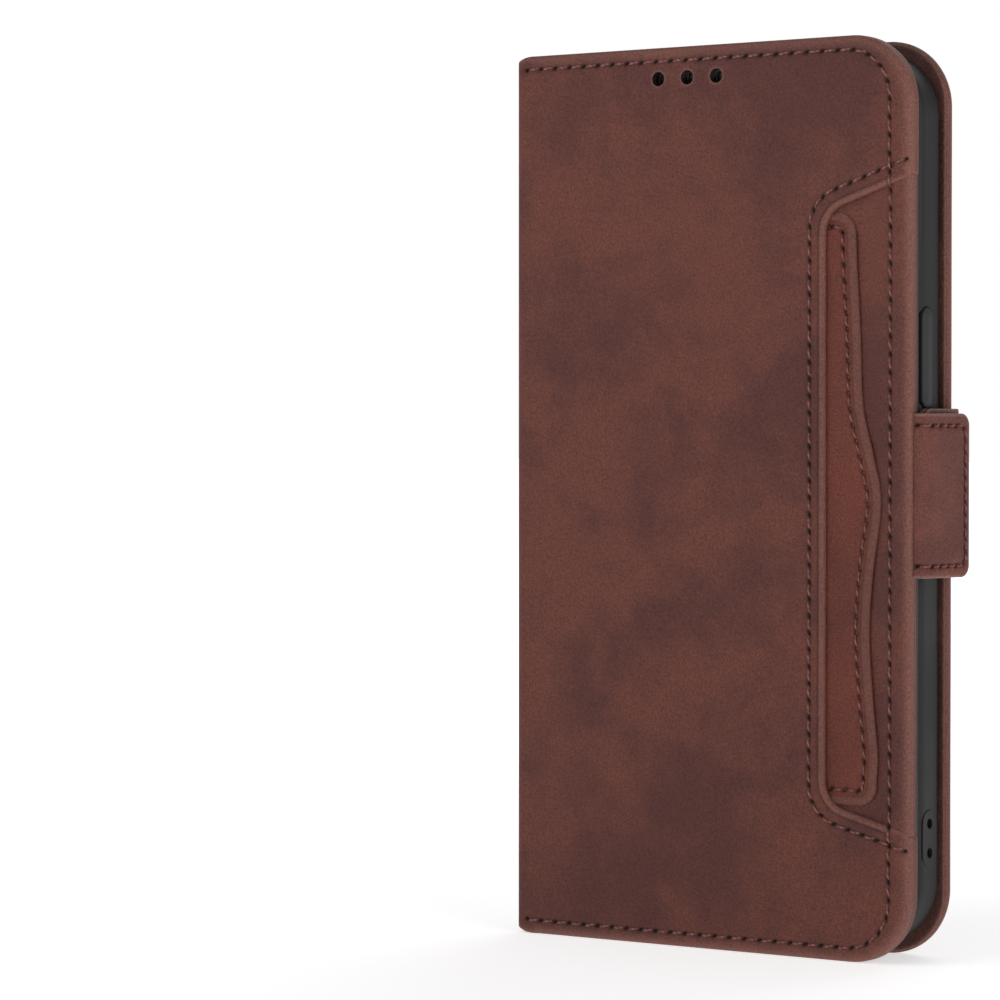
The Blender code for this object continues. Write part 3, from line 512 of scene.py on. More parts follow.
def leather_finish(name, dark, light, worn, cloud=48.0):
    """Coated leather: two browns in soft clouds, a fine nap, paler where an edge is worn, and
    painted shade, nearly black, inside needle holes, punched holes and creases."""
    material, node, shader = new_material(name, 0.58)
    shader.inputs["Specular IOR Level"].default_value = 0.2
    places = node("TexCoord").outputs["Object"]
    clouds = node("TexNoise", {"Vector": places},
                  {"Scale": cloud, "Detail": 3.0, "Roughness": 0.5, "Distortion": 0.5}).outputs[0]
    patches = node("TexNoise", {"Vector": places},
                   {"Scale": 4.2 * cloud, "Detail": 4.0, "Roughness": 0.6}).outputs[0]
    nap = node("TexNoise", {"Vector": places},
               {"Scale": 3000, "Detail": 3.0, "Roughness": 0.7}).outputs[0]
    pores = node("TexVoronoi", {"Vector": places}, {"Scale": 1500}).outputs[0]
    blend = node("Math", {0: patches, 2: clouds}, {1: 0.35}, operation="MULTIPLY_ADD").outputs[0]
    share = node("MapRange", {0: blend}, {1: 0.51, 2: 0.83}, interpolation_type="SMOOTHSTEP").outputs[0]
    base = node("Mix", {0: share}, {6: (*dark, 1), 7: (*light, 1)}, data_type="RGBA").outputs[2]
    speck = node("MapRange", {0: nap}, {1: 0.3, 2: 0.7, 3: 0.62, 4: 1.42}).outputs[0]
    edge = node("Attribute", attribute_name="worn").outputs["Fac"]
    rubbed = node("Mix", {0: edge, 6: base}, {7: (*worn, 1)}, data_type="RGBA").outputs[2]
    grained = node("VectorMath", {0: rubbed, 3: speck}, operation="SCALE").outputs[0]
    # Painted shade: a nearly black brown mixed in where needle holes, punched holes and creases are.
    hole = node("Attribute", attribute_name="painted_shade").outputs["Fac"]
    pit = node("Mix", {0: hole, 6: grained}, {7: (*tone(17, 10, 9), 1)}, data_type="RGBA").outputs[2]
    node.link(pit, shader.inputs["Base Color"])
    gloss = node("MapRange", {0: nap}, {1: 0.3, 2: 0.7, 3: 0.50, 4: 0.66}).outputs[0]
    node.link(gloss, shader.inputs["Roughness"])
    grain = node("Math", {0: pores, 1: nap}, operation="ADD").outputs[0]
    bump = node("Bump", {"Height": grain}, {"Strength": 0.45, "Distance": 0.00016})
    node.link(bump.outputs[0], shader.inputs["Normal"])
    return material


def seam_of(path, pitch=PITCH):
    """Seam line with its pitch fitted to a whole number of stitches."""
    length = np.linalg.norm(np.diff(path, axis=0), axis=1).sum()
    return path, length / max(round(length / pitch), 1)


def thread_finish(name, dark, light):
    """Waxed polyester thread: fine slanting strands in the thread's colour, with painted shade darkening
    the grooves between them.
    """
    material, node, shader = new_material(name, 0.5, Sheen_Weight=0.1)
    places = node("TexCoord").outputs["Object"]
    strands = node("TexWave", {"Vector": places}, {"Scale": 520, "Distortion": 1.5, "Detail": 1.0},
                   bands_direction="DIAGONAL").outputs[0]
    fuzz = node("TexNoise", {"Vector": places}, {"Scale": 1800}).outputs[0]
    share = node("Math", {0: strands, 1: fuzz}, operation="MULTIPLY").outputs[0]
    # The dark end of this mix is painted shade in the grooves between strands; the light end is the
    # thread's colour.
    colour = node("Mix", {0: share}, {6: (*dark, 1), 7: (*light, 1)}, data_type="RGBA").outputs[2]
    node.link(colour, shader.inputs["Base Color"])
    bump = node("Bump", {"Height": strands}, {"Strength": 0.5, "Distance": 0.0001})
    node.link(bump.outputs[0], shader.inputs["Normal"])
    return material


STITCH_LENGTH, STITCH_RADIUS = 2.15 * MM, 0.2 * MM
STITCH_HEIGHT, STITCH_DROP = 0.02 * MM, 0.34 * MM
STITCH_RINGS, STITCH_SIDES = 7, 8


def stitch_row(name, place, seam, level, material, length=STITCH_LENGTH, radius=STITCH_RADIUS, seed=1):
    """Stitches along a seam, one between each two holes. Each is a flat round section carried
    along a low arch whose ends dive into the holes, turned a little out of the seam's line."""
    path, pitch = seam
    chance = np.random.default_rng(seed)
    run = np.concatenate(([0], np.cumsum(np.linalg.norm(np.diff(path, axis=0), axis=1))))
    count = round(run[-1] / pitch)
    at = (np.arange(count) + 0.5) * pitch
    centre = np.stack([np.interp(at, run, path[:, i]) for i in (0, 1)], -1)
    ahead = np.stack([np.interp(at + 0.3 * MM, run, path[:, i]) for i in (0, 1)], -1)
    behind = np.stack([np.interp(at - 0.3 * MM, run, path[:, i]) for i in (0, 1)], -1)
    heading = np.arctan2(*(ahead - behind).T[::-1]) + HOLE_SLANT / 3 + chance.normal(0, 0.05, count)
    along = np.stack((np.cos(heading), np.sin(heading)), -1)
    aside = np.stack((-along[:, 1], along[:, 0]), -1)
    reach = length * chance.uniform(0.93, 1.05, count)
    rings, sides = STITCH_RINGS, STITCH_SIDES
    u = np.linspace(-1, 1, rings)[:, None]
    v = np.arange(sides) * 2 * np.pi / sides
    fat = radius * (1 - 0.72 * np.abs(u) ** 3)
    arch = STITCH_HEIGHT - STITCH_DROP * np.abs(u) ** 2.6
    flat = (centre[:, None, None]
            + along[:, None, None] * (reach[:, None, None, None] / 2 * u[..., None])
            + aside[:, None, None] * (fat * np.cos(v))[..., None])
    rise = level(centre)[:, None, None] + arch + 0.75 * fat * np.sin(v)
    places = place(flat.reshape(-1, 2), rise.reshape(-1))
    ring = np.arange(rings - 1)[:, None] * sides
    step = np.arange(sides)
    quads = np.stack((ring + step, ring + (step + 1) % sides, ring + sides + (step + 1) % sides,
                      ring + sides + step), -1).reshape(-1, 4)
    first = np.arange(count)[:, None, None] * rings * sides
    faces = (quads + first).reshape(-1, 4).tolist()
    ends = np.stack((step[::-1], step + (rings - 1) * sides))
    faces += (ends + first).reshape(-1, sides).tolist()
    piece = plain_mesh(name, places, faces, material)
    close_up(piece, 60)
    return piece


LEATHER_DARK, LEATHER_LIGHT, LEATHER_WORN = tone(82, 46, 42), tone(99, 56, 47), tone(124, 83, 74)
outer_leather = leather_finish("mottled_brown_leather", LEATHER_DARK, LEATHER_LIGHT, LEATHER_WORN)
# First tone: painted shade between the strands; second tone: the thread's colour.
seam_thread = thread_finish("brown_thread", tone(84, 44, 38), tone(166, 104, 94))

edge_back = across(back_high.x)
fold_columns = np.arange(0, FOLD_END + 3 * STEP, STEP)


def turned_depth(path, cover_depth):
    """How deep the outer leather turns in: little at the spine, more on the covers."""
    share = smooth((path[:, 0] - FOLD_END - 1 * MM) / (3 * MM))
    return SPINE_EDGE_DEPTH + (cover_depth - SPINE_EDGE_DEPTH) * share


def cover_seam(edge):
    """Edge seam from the fold round the free edge and back to the fold."""
    start = FOLD_END + 0.6 * MM
    corners = [(start, SEAM_END), (edge - SEAM_EDGE, SEAM_END), (edge - SEAM_EDGE, HEIGHT - SEAM_END),
               (start, HEIGHT - SEAM_END)]
    return seam_of(rounded(corners, [0, SEAM_CORNER, SEAM_CORNER, 0]))


outline = rounded([(0, 0), (edge_back, 0), (edge_back, HEIGHT), (0, HEIGHT)],
                  [0, COVER_CORNER, COVER_CORNER, 0])
depth = turned_depth(outline, BACK_EDGE_DEPTH)
window_high = np.array((edge_back - WINDOW_SIDE, HEIGHT - WINDOW_TOP))
window_low = window_high - WINDOW_SIZE
back_borders = [border(outline, depth, np.minimum(EDGE_ROUND, 0.5 * depth), closed=False),
                border(box_path(window_low, window_high, WINDOW_CORNER, hole=True), WINDOW_DEPTH,
                       WINDOW_ROUND)]
back_seam = cover_seam(edge_back)
back_leather = sheet_piece("back_leather", wrapped(1), back_borders, outer_leather, [back_seam], swell,
                           fold_columns)
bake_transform(back_leather)
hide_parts("back_skin", "spine_skin")

back_stitches = stitch_row("back_edge_stitches", wrapped(1), back_seam, swell, seam_thread)
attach(back_stitches, "back_cover")
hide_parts("back_edge_thread")

# ---------------------------------------------------------------------------------------------
# Outer leather, front half: the same leather from the spine's middle line over the front cover,
# with a rolled edge round the pocket mouth and three speaker holes punched near the top.

FRONT_EDGE_DEPTH = 3.25 * MM
MOUTH_LOW, MOUTH_FROM_TOP = 22.0 * MM, 23.7 * MM
MOUTH_DEPTH, MOUTH_RISE, MOUTH_DROP = 16.3 * MM, 4.4 * MM, 5.5 * MM
MOUTH_RADIUS = 5.0 * MM
MOUTH_LIP_CORNER = 1.2 * MM
MOUTH_SEAM = 3.0 * MM
BEAD_ROUND = 0.42 * MM
SPEAKER_RADIUS, SPEAKER_PITCH = 1.1 * MM, 5.85 * MM
SPEAKER_FROM_SPINE, SPEAKER_FROM_TOP = 30.2 * MM, 5.4 * MM

front_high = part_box("front_skin")[1]
edge_front = across(front_high.x)
mouth_high = HEIGHT - MOUTH_FROM_TOP
mouth_side = edge_front - MOUTH_DEPTH
outline = rounded(
    [(0, 0), (edge_front, 0), (edge_front, MOUTH_LOW), (mouth_side, MOUTH_LOW + MOUTH_RISE),
     (mouth_side, mouth_high - MOUTH_DROP), (edge_front, mouth_high), (edge_front, HEIGHT),
     (0, HEIGHT)],
    [0, COVER_CORNER, MOUTH_LIP_CORNER, MOUTH_RADIUS, MOUTH_RADIUS, MOUTH_LIP_CORNER, COVER_CORNER, 0])
in_mouth = (outline[:, 1] > MOUTH_LOW - 0.3 * MM) & (outline[:, 1] < mouth_high + 0.3 * MM)
thin = smooth((edge_front - outline[:, 0] - 0.1 * MM) / (0.9 * MM)) * in_mouth
bead = thin * smooth((edge_front - outline[:, 0] - 2.6 * MM) / (2.4 * MM))
depth = turned_depth(outline, FRONT_EDGE_DEPTH)
depth += (LEATHER_THICK - depth) * thin
edge_round = np.minimum(EDGE_ROUND, 0.5 * depth)
edge_round += (BEAD_ROUND - edge_round) * thin


def speaker_loops(radius=SPEAKER_RADIUS, count=3):
    """Clockwise circles of the speaker holes."""
    turn = -np.linspace(0, 2 * np.pi, 28, endpoint=False)
    circle = radius * np.stack((np.cos(turn), np.sin(turn)), -1)
    first = np.array((across(spine_low.x + SPEAKER_FROM_SPINE), HEIGHT - SPEAKER_FROM_TOP))
    return [circle + first + (i * SPEAKER_PITCH, 0) for i in range(count)]


front_borders = [border(outline, depth, edge_round, bead, closed=False)]
# The speaker holes' rims and walls get painted shade, nearly black.
front_borders += [border(loop, LEATHER_THICK, 0.25 * MM, dark=1.0) for loop in speaker_loops()]
edge_seam = cover_seam(edge_front)
mouth_seam = seam_of(rounded(
    [(edge_front - 0.8 * MM, MOUTH_LOW - MOUTH_SEAM + 0.2 * MM),
     (mouth_side - MOUTH_SEAM, MOUTH_LOW + MOUTH_RISE - 0.75 * MOUTH_SEAM),
     (mouth_side - MOUTH_SEAM, mouth_high - MOUTH_DROP + 0.72 * MOUTH_SEAM),
     (edge_front - 0.8 * MM, mouth_high + MOUTH_SEAM - 0.2 * MM)],
    [0, MOUTH_RADIUS + 1.8 * MM, MOUTH_RADIUS + 1.8 * MM, 0]), 2.8 * MM)
front_leather = sheet_piece("front_leather", wrapped(-1), front_borders, outer_leather,
                            [edge_seam, mouth_seam], swell, fold_columns)
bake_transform(front_leather)
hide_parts("front_skin")

mouth_stitches = stitch_row("pocket_mouth_stitches", wrapped(-1), mouth_seam, swell, seam_thread,
                            2.0 * MM, seed=3)
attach(mouth_stitches, "front_cover")
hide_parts("pocket_mouth_thread")

# ---------------------------------------------------------------------------------------------
# Pocket panel: a thinner, redder leather under the mouth, with a rolled wavy edge for pushing
# cards in with a thumb. It is stitched beside the roll and sits on the base leather.

PANEL_LOW, PANEL_FROM_TOP = 26.0 * MM, 29.1 * MM
PANEL_FROM_SPINE = 14.0 * MM
PANEL_THICK = 0.55 * MM
PANEL_SINK = 0.86 * MM
PANEL_LIFT, PANEL_SLOPE = 0.5 * MM, 7.0 * MM
PANEL_SEAM = 2.6 * MM
PANEL_CORNER = 3.8 * MM
PANEL_BEAD = 1.6 * MM
WAVE = ((6.5, 0.046), (6.3, 0.09), (7.2, 0.18), (7.9, 0.29), (7.3, 0.39), (5.7, 0.51), (7.2, 0.59),
        (9.2, 0.675), (9.7, 0.79), (10.4, 0.91), (10.6, 0.954))

panel_high = HEIGHT - PANEL_FROM_TOP
panel_left = across(spine_low.x + PANEL_FROM_SPINE)
wave = np.array([(edge_front - inset * MM, PANEL_LOW + share * (panel_high - PANEL_LOW))
                 for inset, share in WAVE])


def curved(points, steps=12):
    """Smooth curve through points: cubic pieces whose slopes come from the neighbouring points."""
    ends = np.vstack((points[:1], points, points[-1:]))
    t = np.linspace(0, 1, steps, endpoint=False)[:, None]
    a, b, c, d = (ends[i:len(ends) - 3 + i, None] for i in range(4))
    path = b + t * (c - a + t * (2 * a - 5 * b + 4 * c - d + t * (3 * (b - c) + d - a))) / 2
    return np.concatenate((path.reshape(-1, 2), points[-1:]))


wavy = curved(wave)
foot = rounded([(panel_left, PANEL_LOW), (wavy[0, 0], PANEL_LOW), tuple(wavy[0])], [0, PANEL_CORNER, 0])
head = rounded([tuple(wavy[-1]), (wavy[-1, 0], panel_high), (panel_left, panel_high)],
               [0, PANEL_CORNER, 0])
panel_path = even(np.concatenate((foot, wavy[1:-1], head)), STEP, True)
roll = smooth((panel_path[:, 0] - mouth_side + 3 * MM) / (2 * MM))


def panel_level(points):
    """The panel lies low under the outer leather and rises to its wavy edge."""
    away = nearest(points, wavy)[0]
    return PANEL_LIFT * smooth(1 - away / PANEL_SLOPE)


panel_leather = leather_finish("reddish_panel_leather", tone(84, 44, 38), tone(104, 54, 43),
                               tone(106, 72, 64), 30.0)
panel_border = border(panel_path, PANEL_THICK, 0.26 * MM, roll, bead_width=PANEL_BEAD)
inner_wave = rounded([(mouth_side + 0.8 * MM, PANEL_LOW), (wavy[0, 0], PANEL_LOW), tuple(wavy[0])],
                     [0, PANEL_CORNER, 0])
top_wave = rounded([tuple(wavy[-1]), (wavy[-1, 0], panel_high), (mouth_side + 0.8 * MM, panel_high)],
                   [0, PANEL_CORNER, 0])
wave_line = even(np.concatenate((inner_wave, wavy[1:-1], top_wave)), STEP)
panel_seam = seam_of(even(wave_line + left_of(wave_line) * PANEL_SEAM, STEP), 2.7 * MM)
pocket_panel = sheet_piece("pocket_panel_leather", wrapped(-1, PANEL_SINK), [panel_border],
                           panel_leather, [panel_seam], panel_level, thick=PANEL_THICK)
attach(pocket_panel, "front_cover")
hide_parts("pocket_panel")

panel_stitches = stitch_row("pocket_panel_stitches", wrapped(-1, PANEL_SINK), panel_seam, panel_level,
                            seam_thread, 1.9 * MM, 0.17 * MM, seed=5)
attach(panel_stitches, "front_cover")
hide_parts("pocket_panel_thread")

# ---------------------------------------------------------------------------------------------
# Base leather under the mouth and the panel. It carries the front cover's edge across the mouth,
# where the edge seam runs on over it, and is thinned under the panel so that nothing bulges.

BASE_SINK = 0.88 * MM
BASE_INSET, BASE_MOUTH_INSET = 0.9 * MM, 0.06 * MM
BASE_LIFT = 0.55 * MM
BASE_RECESS = 0.62 * MM
BASE_THICK = 0.8 * MM

left = FOLD_END + 0.6 * MM
base_path = rounded([(left, BASE_INSET), (edge_front - BASE_INSET, BASE_INSET),
                     (edge_front - BASE_INSET, HEIGHT - BASE_INSET), (left, HEIGHT - BASE_INSET)],
                    [1 * MM, COVER_CORNER - BASE_INSET, COVER_CORNER - BASE_INSET, 1 * MM], closed=True)
shown = (smooth((base_path[:, 1] - MOUTH_LOW + 1.6 * MM) / (1.4 * MM))
         * smooth((mouth_high + 1.6 * MM - base_path[:, 1]) / (1.4 * MM)))
at_edge = base_path[:, 0] > edge_front - 2 * BASE_INSET
base_path[:, 0] += (BASE_INSET - BASE_MOUTH_INSET) * shown * at_edge


def base_level(points):
    """The base rises towards the free edge and is thinned under the panel."""
    lift = BASE_LIFT * smooth((points[:, 0] - edge_front + 6.8 * MM) / (3.6 * MM))
    away = nearest(points, panel_path, True)[0] * np.where(within(points, panel_path), 1, -1)
    return lift - BASE_RECESS * smooth((away - 0.2 * MM) / (2.2 * MM))


base_borders = [border(base_path, FRONT_EDGE_DEPTH - BASE_SINK, 1.0 * MM)]
# The speaker holes' rims and walls get painted shade, nearly black.
base_borders += [border(loop, BASE_THICK, 0.2 * MM, dark=1.0) for loop in speaker_loops()]
base_leather = sheet_piece("front_base_leather", wrapped(-1, BASE_SINK), base_borders, outer_leather,
                           [edge_seam], base_level)
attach(base_leather, "front_cover")
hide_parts("front_base_skin")


def stepped_level(points):
    """Level of the edge seam: on the outer leather, and lower on the base in the mouth."""
    crossing = (points[:, 1] > MOUTH_LOW + 1.1 * MM) & (points[:, 1] < mouth_high - 1.3 * MM)
    on_edge = points[:, 0] > edge_front - 1.5 * SEAM_EDGE
    return np.where(crossing & on_edge, base_level(points) - BASE_SINK, swell(points))


edge_stitches = stitch_row("front_edge_stitches", wrapped(-1), edge_seam, stepped_level, seam_thread,
                           seed=2)
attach(edge_stitches, "front_cover")
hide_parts("front_edge_thread")

# ---------------------------------------------------------------------------------------------
# Linings: smooth dark coated fabric on the inner faces of both covers and of the spine, folded
# over thin boards and caught by the edge seams.

LINING_SKIN = 0.3 * MM
LINING_ROUND = 0.3 * MM
LINING_INSET = 1.0 * MM
SMALL_CORNER = 1.0 * MM

inner_leather = leather_finish("dark_inner_lining", tone(46, 36, 34), tone(62, 46, 42),
                               tone(84, 63, 56))
back_inner_leather = leather_finish("brown_back_lining", tone(64, 41, 37), tone(82, 52, 46),
                                    tone(112, 78, 69))


def facing(y, outward):
    """Places on a cover's plane face, which looks along +Y or -Y."""
    def place(points, rise):
        x = points[:, 0] - FOLD_END + spine_low.x + FOLD
        return np.stack((x, y + outward * rise, points[:, 1]), -1)
    return place


def even_level(points):
    """A plane face."""
    return np.zeros(len(points))


def node_outline(name, spine_corner, edge_corner):
    """Outline of a flat piece of the model, with its corners at the spine and at the free edge."""
    low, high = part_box(name)
    corners = [(across(x), z) for x, z in ((low.x, low.z), (high.x, low.z), (high.x, high.z),
                                           (low.x, high.z))]
    return rounded(corners, [spine_corner, edge_corner, edge_corner, spine_corner], closed=True)


def ride(piece, body, slot, *nodes):
    """Carries a piece on a body, in place of the model's nodes."""
    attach(piece, body)
    if nodes:
        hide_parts(*nodes)


low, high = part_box("back_lining")
hem = box_path(window_low, window_high, WINDOW_CORNER, hole=True)
back_lining = sheet_piece(
    "back_cover_lining", facing(low.y, -1),
    [border(node_outline("back_lining", SMALL_CORNER, COVER_CORNER - LINING_INSET), high.y - low.y,
            LINING_ROUND), border(hem, high.y - low.y, LINING_ROUND)],
    back_inner_leather, thick=LINING_SKIN)
ride(back_lining, "back_cover", "lining", "back_lining")

low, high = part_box("front_lining")
# The speaker holes through the lining get painted shade, nearly black, on their rims and walls.
front_lining = sheet_piece(
    "front_cover_lining", facing(high.y, 1),
    [border(node_outline("front_lining", SMALL_CORNER, COVER_CORNER - LINING_INSET), high.y - low.y,
            LINING_ROUND)] + [border(loop, high.y - low.y, 0.2 * MM, dark=1.0)
                                             for loop in speaker_loops()],
    inner_leather, [edge_seam], thick=LINING_SKIN)
ride(front_lining, "front_cover", "lining", "front_lining")
ride(stitch_row("front_lining_stitches", facing(high.y, 1), edge_seam, even_level, seam_thread, seed=8),
     "front_cover", "thread")

spine_lining_low, spine_lining_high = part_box("spine_lining")


def inside_spine(points, rise):
    """Places on the spine's inner face."""
    return np.stack((spine_lining_high.x + rise, points[:, 0], points[:, 1]), -1)


loop = box_path((spine_lining_low.y, spine_lining_low.z), (spine_lining_high.y, spine_lining_high.z),
                0.8 * MM)
spine_lining = sheet_piece("spine_inner_lining", inside_spine,
                           [border(loop, spine_lining_high.x - spine_lining_low.x, 0.15 * MM)],
                           inner_leather, thick=0.2 * MM)
ride(spine_lining, "spine", "lining", "spine_lining")

# ---------------------------------------------------------------------------------------------
# Card and cash pockets on the front cover's inner face: a wide cash pocket with three card
# slots stepped over it. Each has a rolled edge towards the free side and is stitched at its ends.

POCKET_ROUND = 0.14 * MM
POCKET_SEAM = 1.7 * MM
POCKET_BEAD = 0.8
CASH_CORNER, CARD_CORNER = 6.2 * MM, 1.6 * MM
# First tone: painted shade between the strands; second tone: the thread's colour.
pocket_thread = thread_finish("dark_thread", tone(58, 38, 34), tone(112, 78, 70))

for name, corner in (("cash_pocket", CASH_CORNER), ("card_slot_1", CARD_CORNER),
                     ("card_slot_2", CARD_CORNER), ("card_slot_3", CARD_CORNER)):
    low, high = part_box(name)
    loop = node_outline(name, corner, corner)
    rolled = smooth((loop[:, 0] - across(high.x) + corner) / (0.5 * MM))
    rolled *= smooth(np.minimum(loop[:, 1] - low.z, high.z - loop[:, 1]) / (2.5 * MM))
    place = facing(high.y, 1)
    left, right = across(low.x) + 1.2 * MM, across(high.x) - 2.6 * MM
    rows = [seam_of(even(np.array(((left, z), (right, z))), STEP), 2.4 * MM)
            for z in (low.z + POCKET_SEAM, high.z - POCKET_SEAM)]
    edge = border(loop, high.y - low.y, POCKET_ROUND, POCKET_BEAD * rolled)
    pocket = sheet_piece(name + "_leather", place, [edge], inner_leather, rows, thick=0.2 * MM)
    ride(pocket, "front_cover", "lining", name)
    for end, row in zip(("low", "high"), rows):
        ride(stitch_row(name + "_%s_stitches" % end, place, row, even_level, pocket_thread, 1.7 * MM,
                        0.15 * MM), "front_cover", "thread")

# ---------------------------------------------------------------------------------------------
# Phone shell: moulded soft plastic, glued to the back cover. A rounded tray with a lip that
# holds the phone, a groove behind the lip, and cut-outs for camera, buttons, ports and lanyard.

SHELL_CORNER = 10.7 * MM
SHELL_RIM = 1.2 * MM
SHELL_PROFILE = (                      # inset and depth behind the lip's face, from the back floor
    (2.2, 9.85), (1.2, 9.83), (0.75, 9.7), (0.38, 9.42), (0.14, 9.05), (0.03, 8.7), (0, 8.3), (0, 5.0),
    (0, 4.2), (0.06, 3.9), (0.12, 3.75), (0.1, 3.6), (0.16, 3.45), (0.42, 3.22), (0.5, 3.0), (0.42, 2.78),
    (0.18, 2.56), (0.03, 2.3), (0, 1.9), (0, 0.9), (0.04, 0.5), (0.2, 0.2), (0.45, 0.05), (0.8, 0),
    (2.2, 0), (2.48, 0.06), (2.66, 0.24), (2.7, 0.45), (2.66, 0.7), (2.5, 0.86), (2.3, 0.9), (1.4, 0.9),
    (1.22, 1.0), (1.2, 1.2), (1.2, 5.0), (1.2, 8.4), (1.3, 8.7), (1.55, 8.83), (1.9, 8.85))
PORT, SLOTS = (12.5 * MM, 5.6 * MM), (13.0 * MM, 2.6 * MM)
SLOT_FROM_PORT = 5.0 * MM
SHELL_MIDDLE_Y = 0.675 * MM
BUTTON_WIDTH, SLOT_PLAY = 3.4 * MM, 0.15 * MM
MUTE_HEIGHT, MUTE_LENGTH = 126 * MM, 8 * MM
LANYARD_HEIGHTS, LANYARD_RADIUS = (18.0 * MM, 22.9 * MM), 0.85 * MM
LANYARD_Y = 1.9 * MM

shell_plastic, node, shader = new_material("black_soft_plastic", 0.5, Specular_IOR_Level=0.3)
places = node("TexCoord").outputs["Object"]
mottle = node("TexNoise", {"Vector": places}, {"Scale": 60, "Detail": 4.0}).outputs[0]
grit = node("TexNoise", {"Vector": places}, {"Scale": 3000, "Detail": 2.0}).outputs[0]
tint = node("Mix", {0: mottle}, {6: (*tone(24, 24, 25), 1), 7: (*tone(36, 36, 36), 1)},
            data_type="RGBA")
node.link(tint.outputs[2], shader.inputs["Base Color"])
gloss = node("MapRange", {0: mottle}, {1: 0.3, 2: 0.7, 3: 0.44, 4: 0.58}).outputs[0]
node.link(gloss, shader.inputs["Roughness"])
bump = node("Bump", {"Height": grit}, {"Strength": 0.25, "Distance": 0.00005})
node.link(bump.outputs[0], shader.inputs["Normal"])

shell_low, shell_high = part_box("phone_shell")
rim = box_path((shell_low.x, shell_low.z), (shell_high.x, shell_high.z), SHELL_CORNER, 0.7 * MM)
inward = left_of(rim, True)
profile = np.array(SHELL_PROFILE) * MM
flat = rim + inward * profile[:, None, None, 0]
walls = np.stack((flat[..., 0], np.broadcast_to(shell_low.y + profile[:, None, 1], flat.shape[:2]),
                  flat[..., 1]), -1)
x_of = spine_low.x + FOLD - FOLD_END
window = box_path(window_low + SHELL_RIM + (x_of, 0), window_high - SHELL_RIM + (x_of, 0),
                  WINDOW_CORNER - SHELL_RIM, 0.7 * MM, True)
count, rows = len(rim), len(profile)
here = np.arange(count)
faces = []
for row in range(rows - 1):
    upper, lower = here + row * count, here + (row + 1) * count
    faces += np.stack((upper, lower, np.roll(lower, -1), np.roll(upper, -1)), -1).tolist()
shell_points = [walls.reshape(-1, 3)]
for row, y in ((0, shell_low.y + profile[0, 1]), (rows - 1, shell_low.y + profile[-1, 1])):
    ring = flat[row]
    loops = [ring, window]
    points, made = triangles(np.concatenate(loops), loops)
    start = sum(map(len, shell_points))
    shell_points.append(np.stack((window[:, 0], np.full(len(window), y), window[:, 1]), -1))
    index = np.concatenate((here + row * count, np.arange(len(window)) + start))
    faces += index[made].tolist()
first, second = (start - len(window) + np.arange(len(window)), start + np.arange(len(window)))
faces += np.stack((first, second, np.roll(second, -1), np.roll(first, -1)), -1).tolist()
shell = plain_mesh("moulded_shell", np.concatenate(shell_points), faces, shell_plastic)


def racetrack(middle, length, width, steps=10):
    """Round-ended slot, long along the second axis."""
    turn = np.linspace(0, np.pi, steps)
    end = width / 2 * np.stack((np.cos(turn), np.sin(turn)), -1) + (0, (length - width) / 2)
    return np.concatenate((end, -end)) + middle


def punch(name, loop, low, high, axis):
    """Solid for a cut along X or Z; the loop's axes are the other two, Y first."""
    count = len(loop)
    ends = [np.full(count, low), np.full(count, high)]
    y, other = loop.T
    places = np.concatenate([np.stack((end, y, other) if axis == "X" else (other, y, end), -1)
                             for end in ends])
    here = np.arange(count)
    faces = np.stack((here, np.roll(here, -1), np.roll(here, -1) + count, here + count), -1).tolist()
    faces += [here[::-1].tolist(), (here + count).tolist()]
    solid = plain_mesh(name, places, faces, shell_plastic)
    close_up(solid)
    return solid


def pierce(piece, solids):
    """Cuts the solids out of a piece, and does away with them."""
    for solid in solids:
        cut = piece.modifiers.new(solid.name, "BOOLEAN")
        cut.object = solid
        cut.solver = "EXACT"
    ready = piece.evaluated_get(bpy.context.evaluated_depsgraph_get())
    mesh = bpy.data.meshes.new_from_object(ready)
    piece.modifiers.clear()
    piece.data = mesh
    for solid in solids:
        bpy.data.objects.remove(solid)


pads = {name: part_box(name + "_pad") for name in ("side_button", "volume_up", "volume_down")}
close_up(shell)
middle_x = (shell_low.x + shell_high.x) / 2
solids = [punch("port", racetrack((SHELL_MIDDLE_Y, middle_x), *PORT), shell_low.z - MM,
                shell_low.z + 2 * MM, "Z")]
for side in (-1, 1):
    offset = side * ((PORT[0] + SLOTS[0]) / 2 + SLOT_FROM_PORT)
    solids.append(punch("slot", racetrack((SHELL_MIDDLE_Y, middle_x + offset), *SLOTS),
                        shell_low.z - MM, shell_low.z + 2 * MM, "Z"))
for low, high in pads.values():
    loop = racetrack((SHELL_MIDDLE_Y, (low.z + high.z) / 2), high.z - low.z + 2 * SLOT_PLAY,
                     BUTTON_WIDTH + 2 * SLOT_PLAY)
    solids.append(punch("slot", loop, low.x - 2 * MM, high.x + 2 * MM, "X"))
solids.append(punch("mute", racetrack((SHELL_MIDDLE_Y, MUTE_HEIGHT), MUTE_LENGTH, BUTTON_WIDTH),
                    shell_low.x - MM, shell_low.x + 2 * MM, "X"))
lanyard_loops = [racetrack((LANYARD_Y, z), 2 * LANYARD_RADIUS, 2 * LANYARD_RADIUS)
                 for z in LANYARD_HEIGHTS]
solids += [punch("lanyard", loop, shell_high.x - 2 * MM, shell_high.x + MM, "X")
           for loop in lanyard_loops]
pierce(shell, solids)
close_up(shell, 35)
ride(shell, "back_cover", "shell", "phone_shell")

# Reinforcing pad round the two lanyard holes, moulded with the shell.
PAD_MARGIN, PAD_RISE = 1.5 * MM, 0.12 * MM


def on_side(x, outward):
    """Places on a side wall of the shell: the first number is the depth, the second the height."""
    return lambda points, rise: np.stack((x + outward * rise, points[:, 0], points[:, 1]), -1)


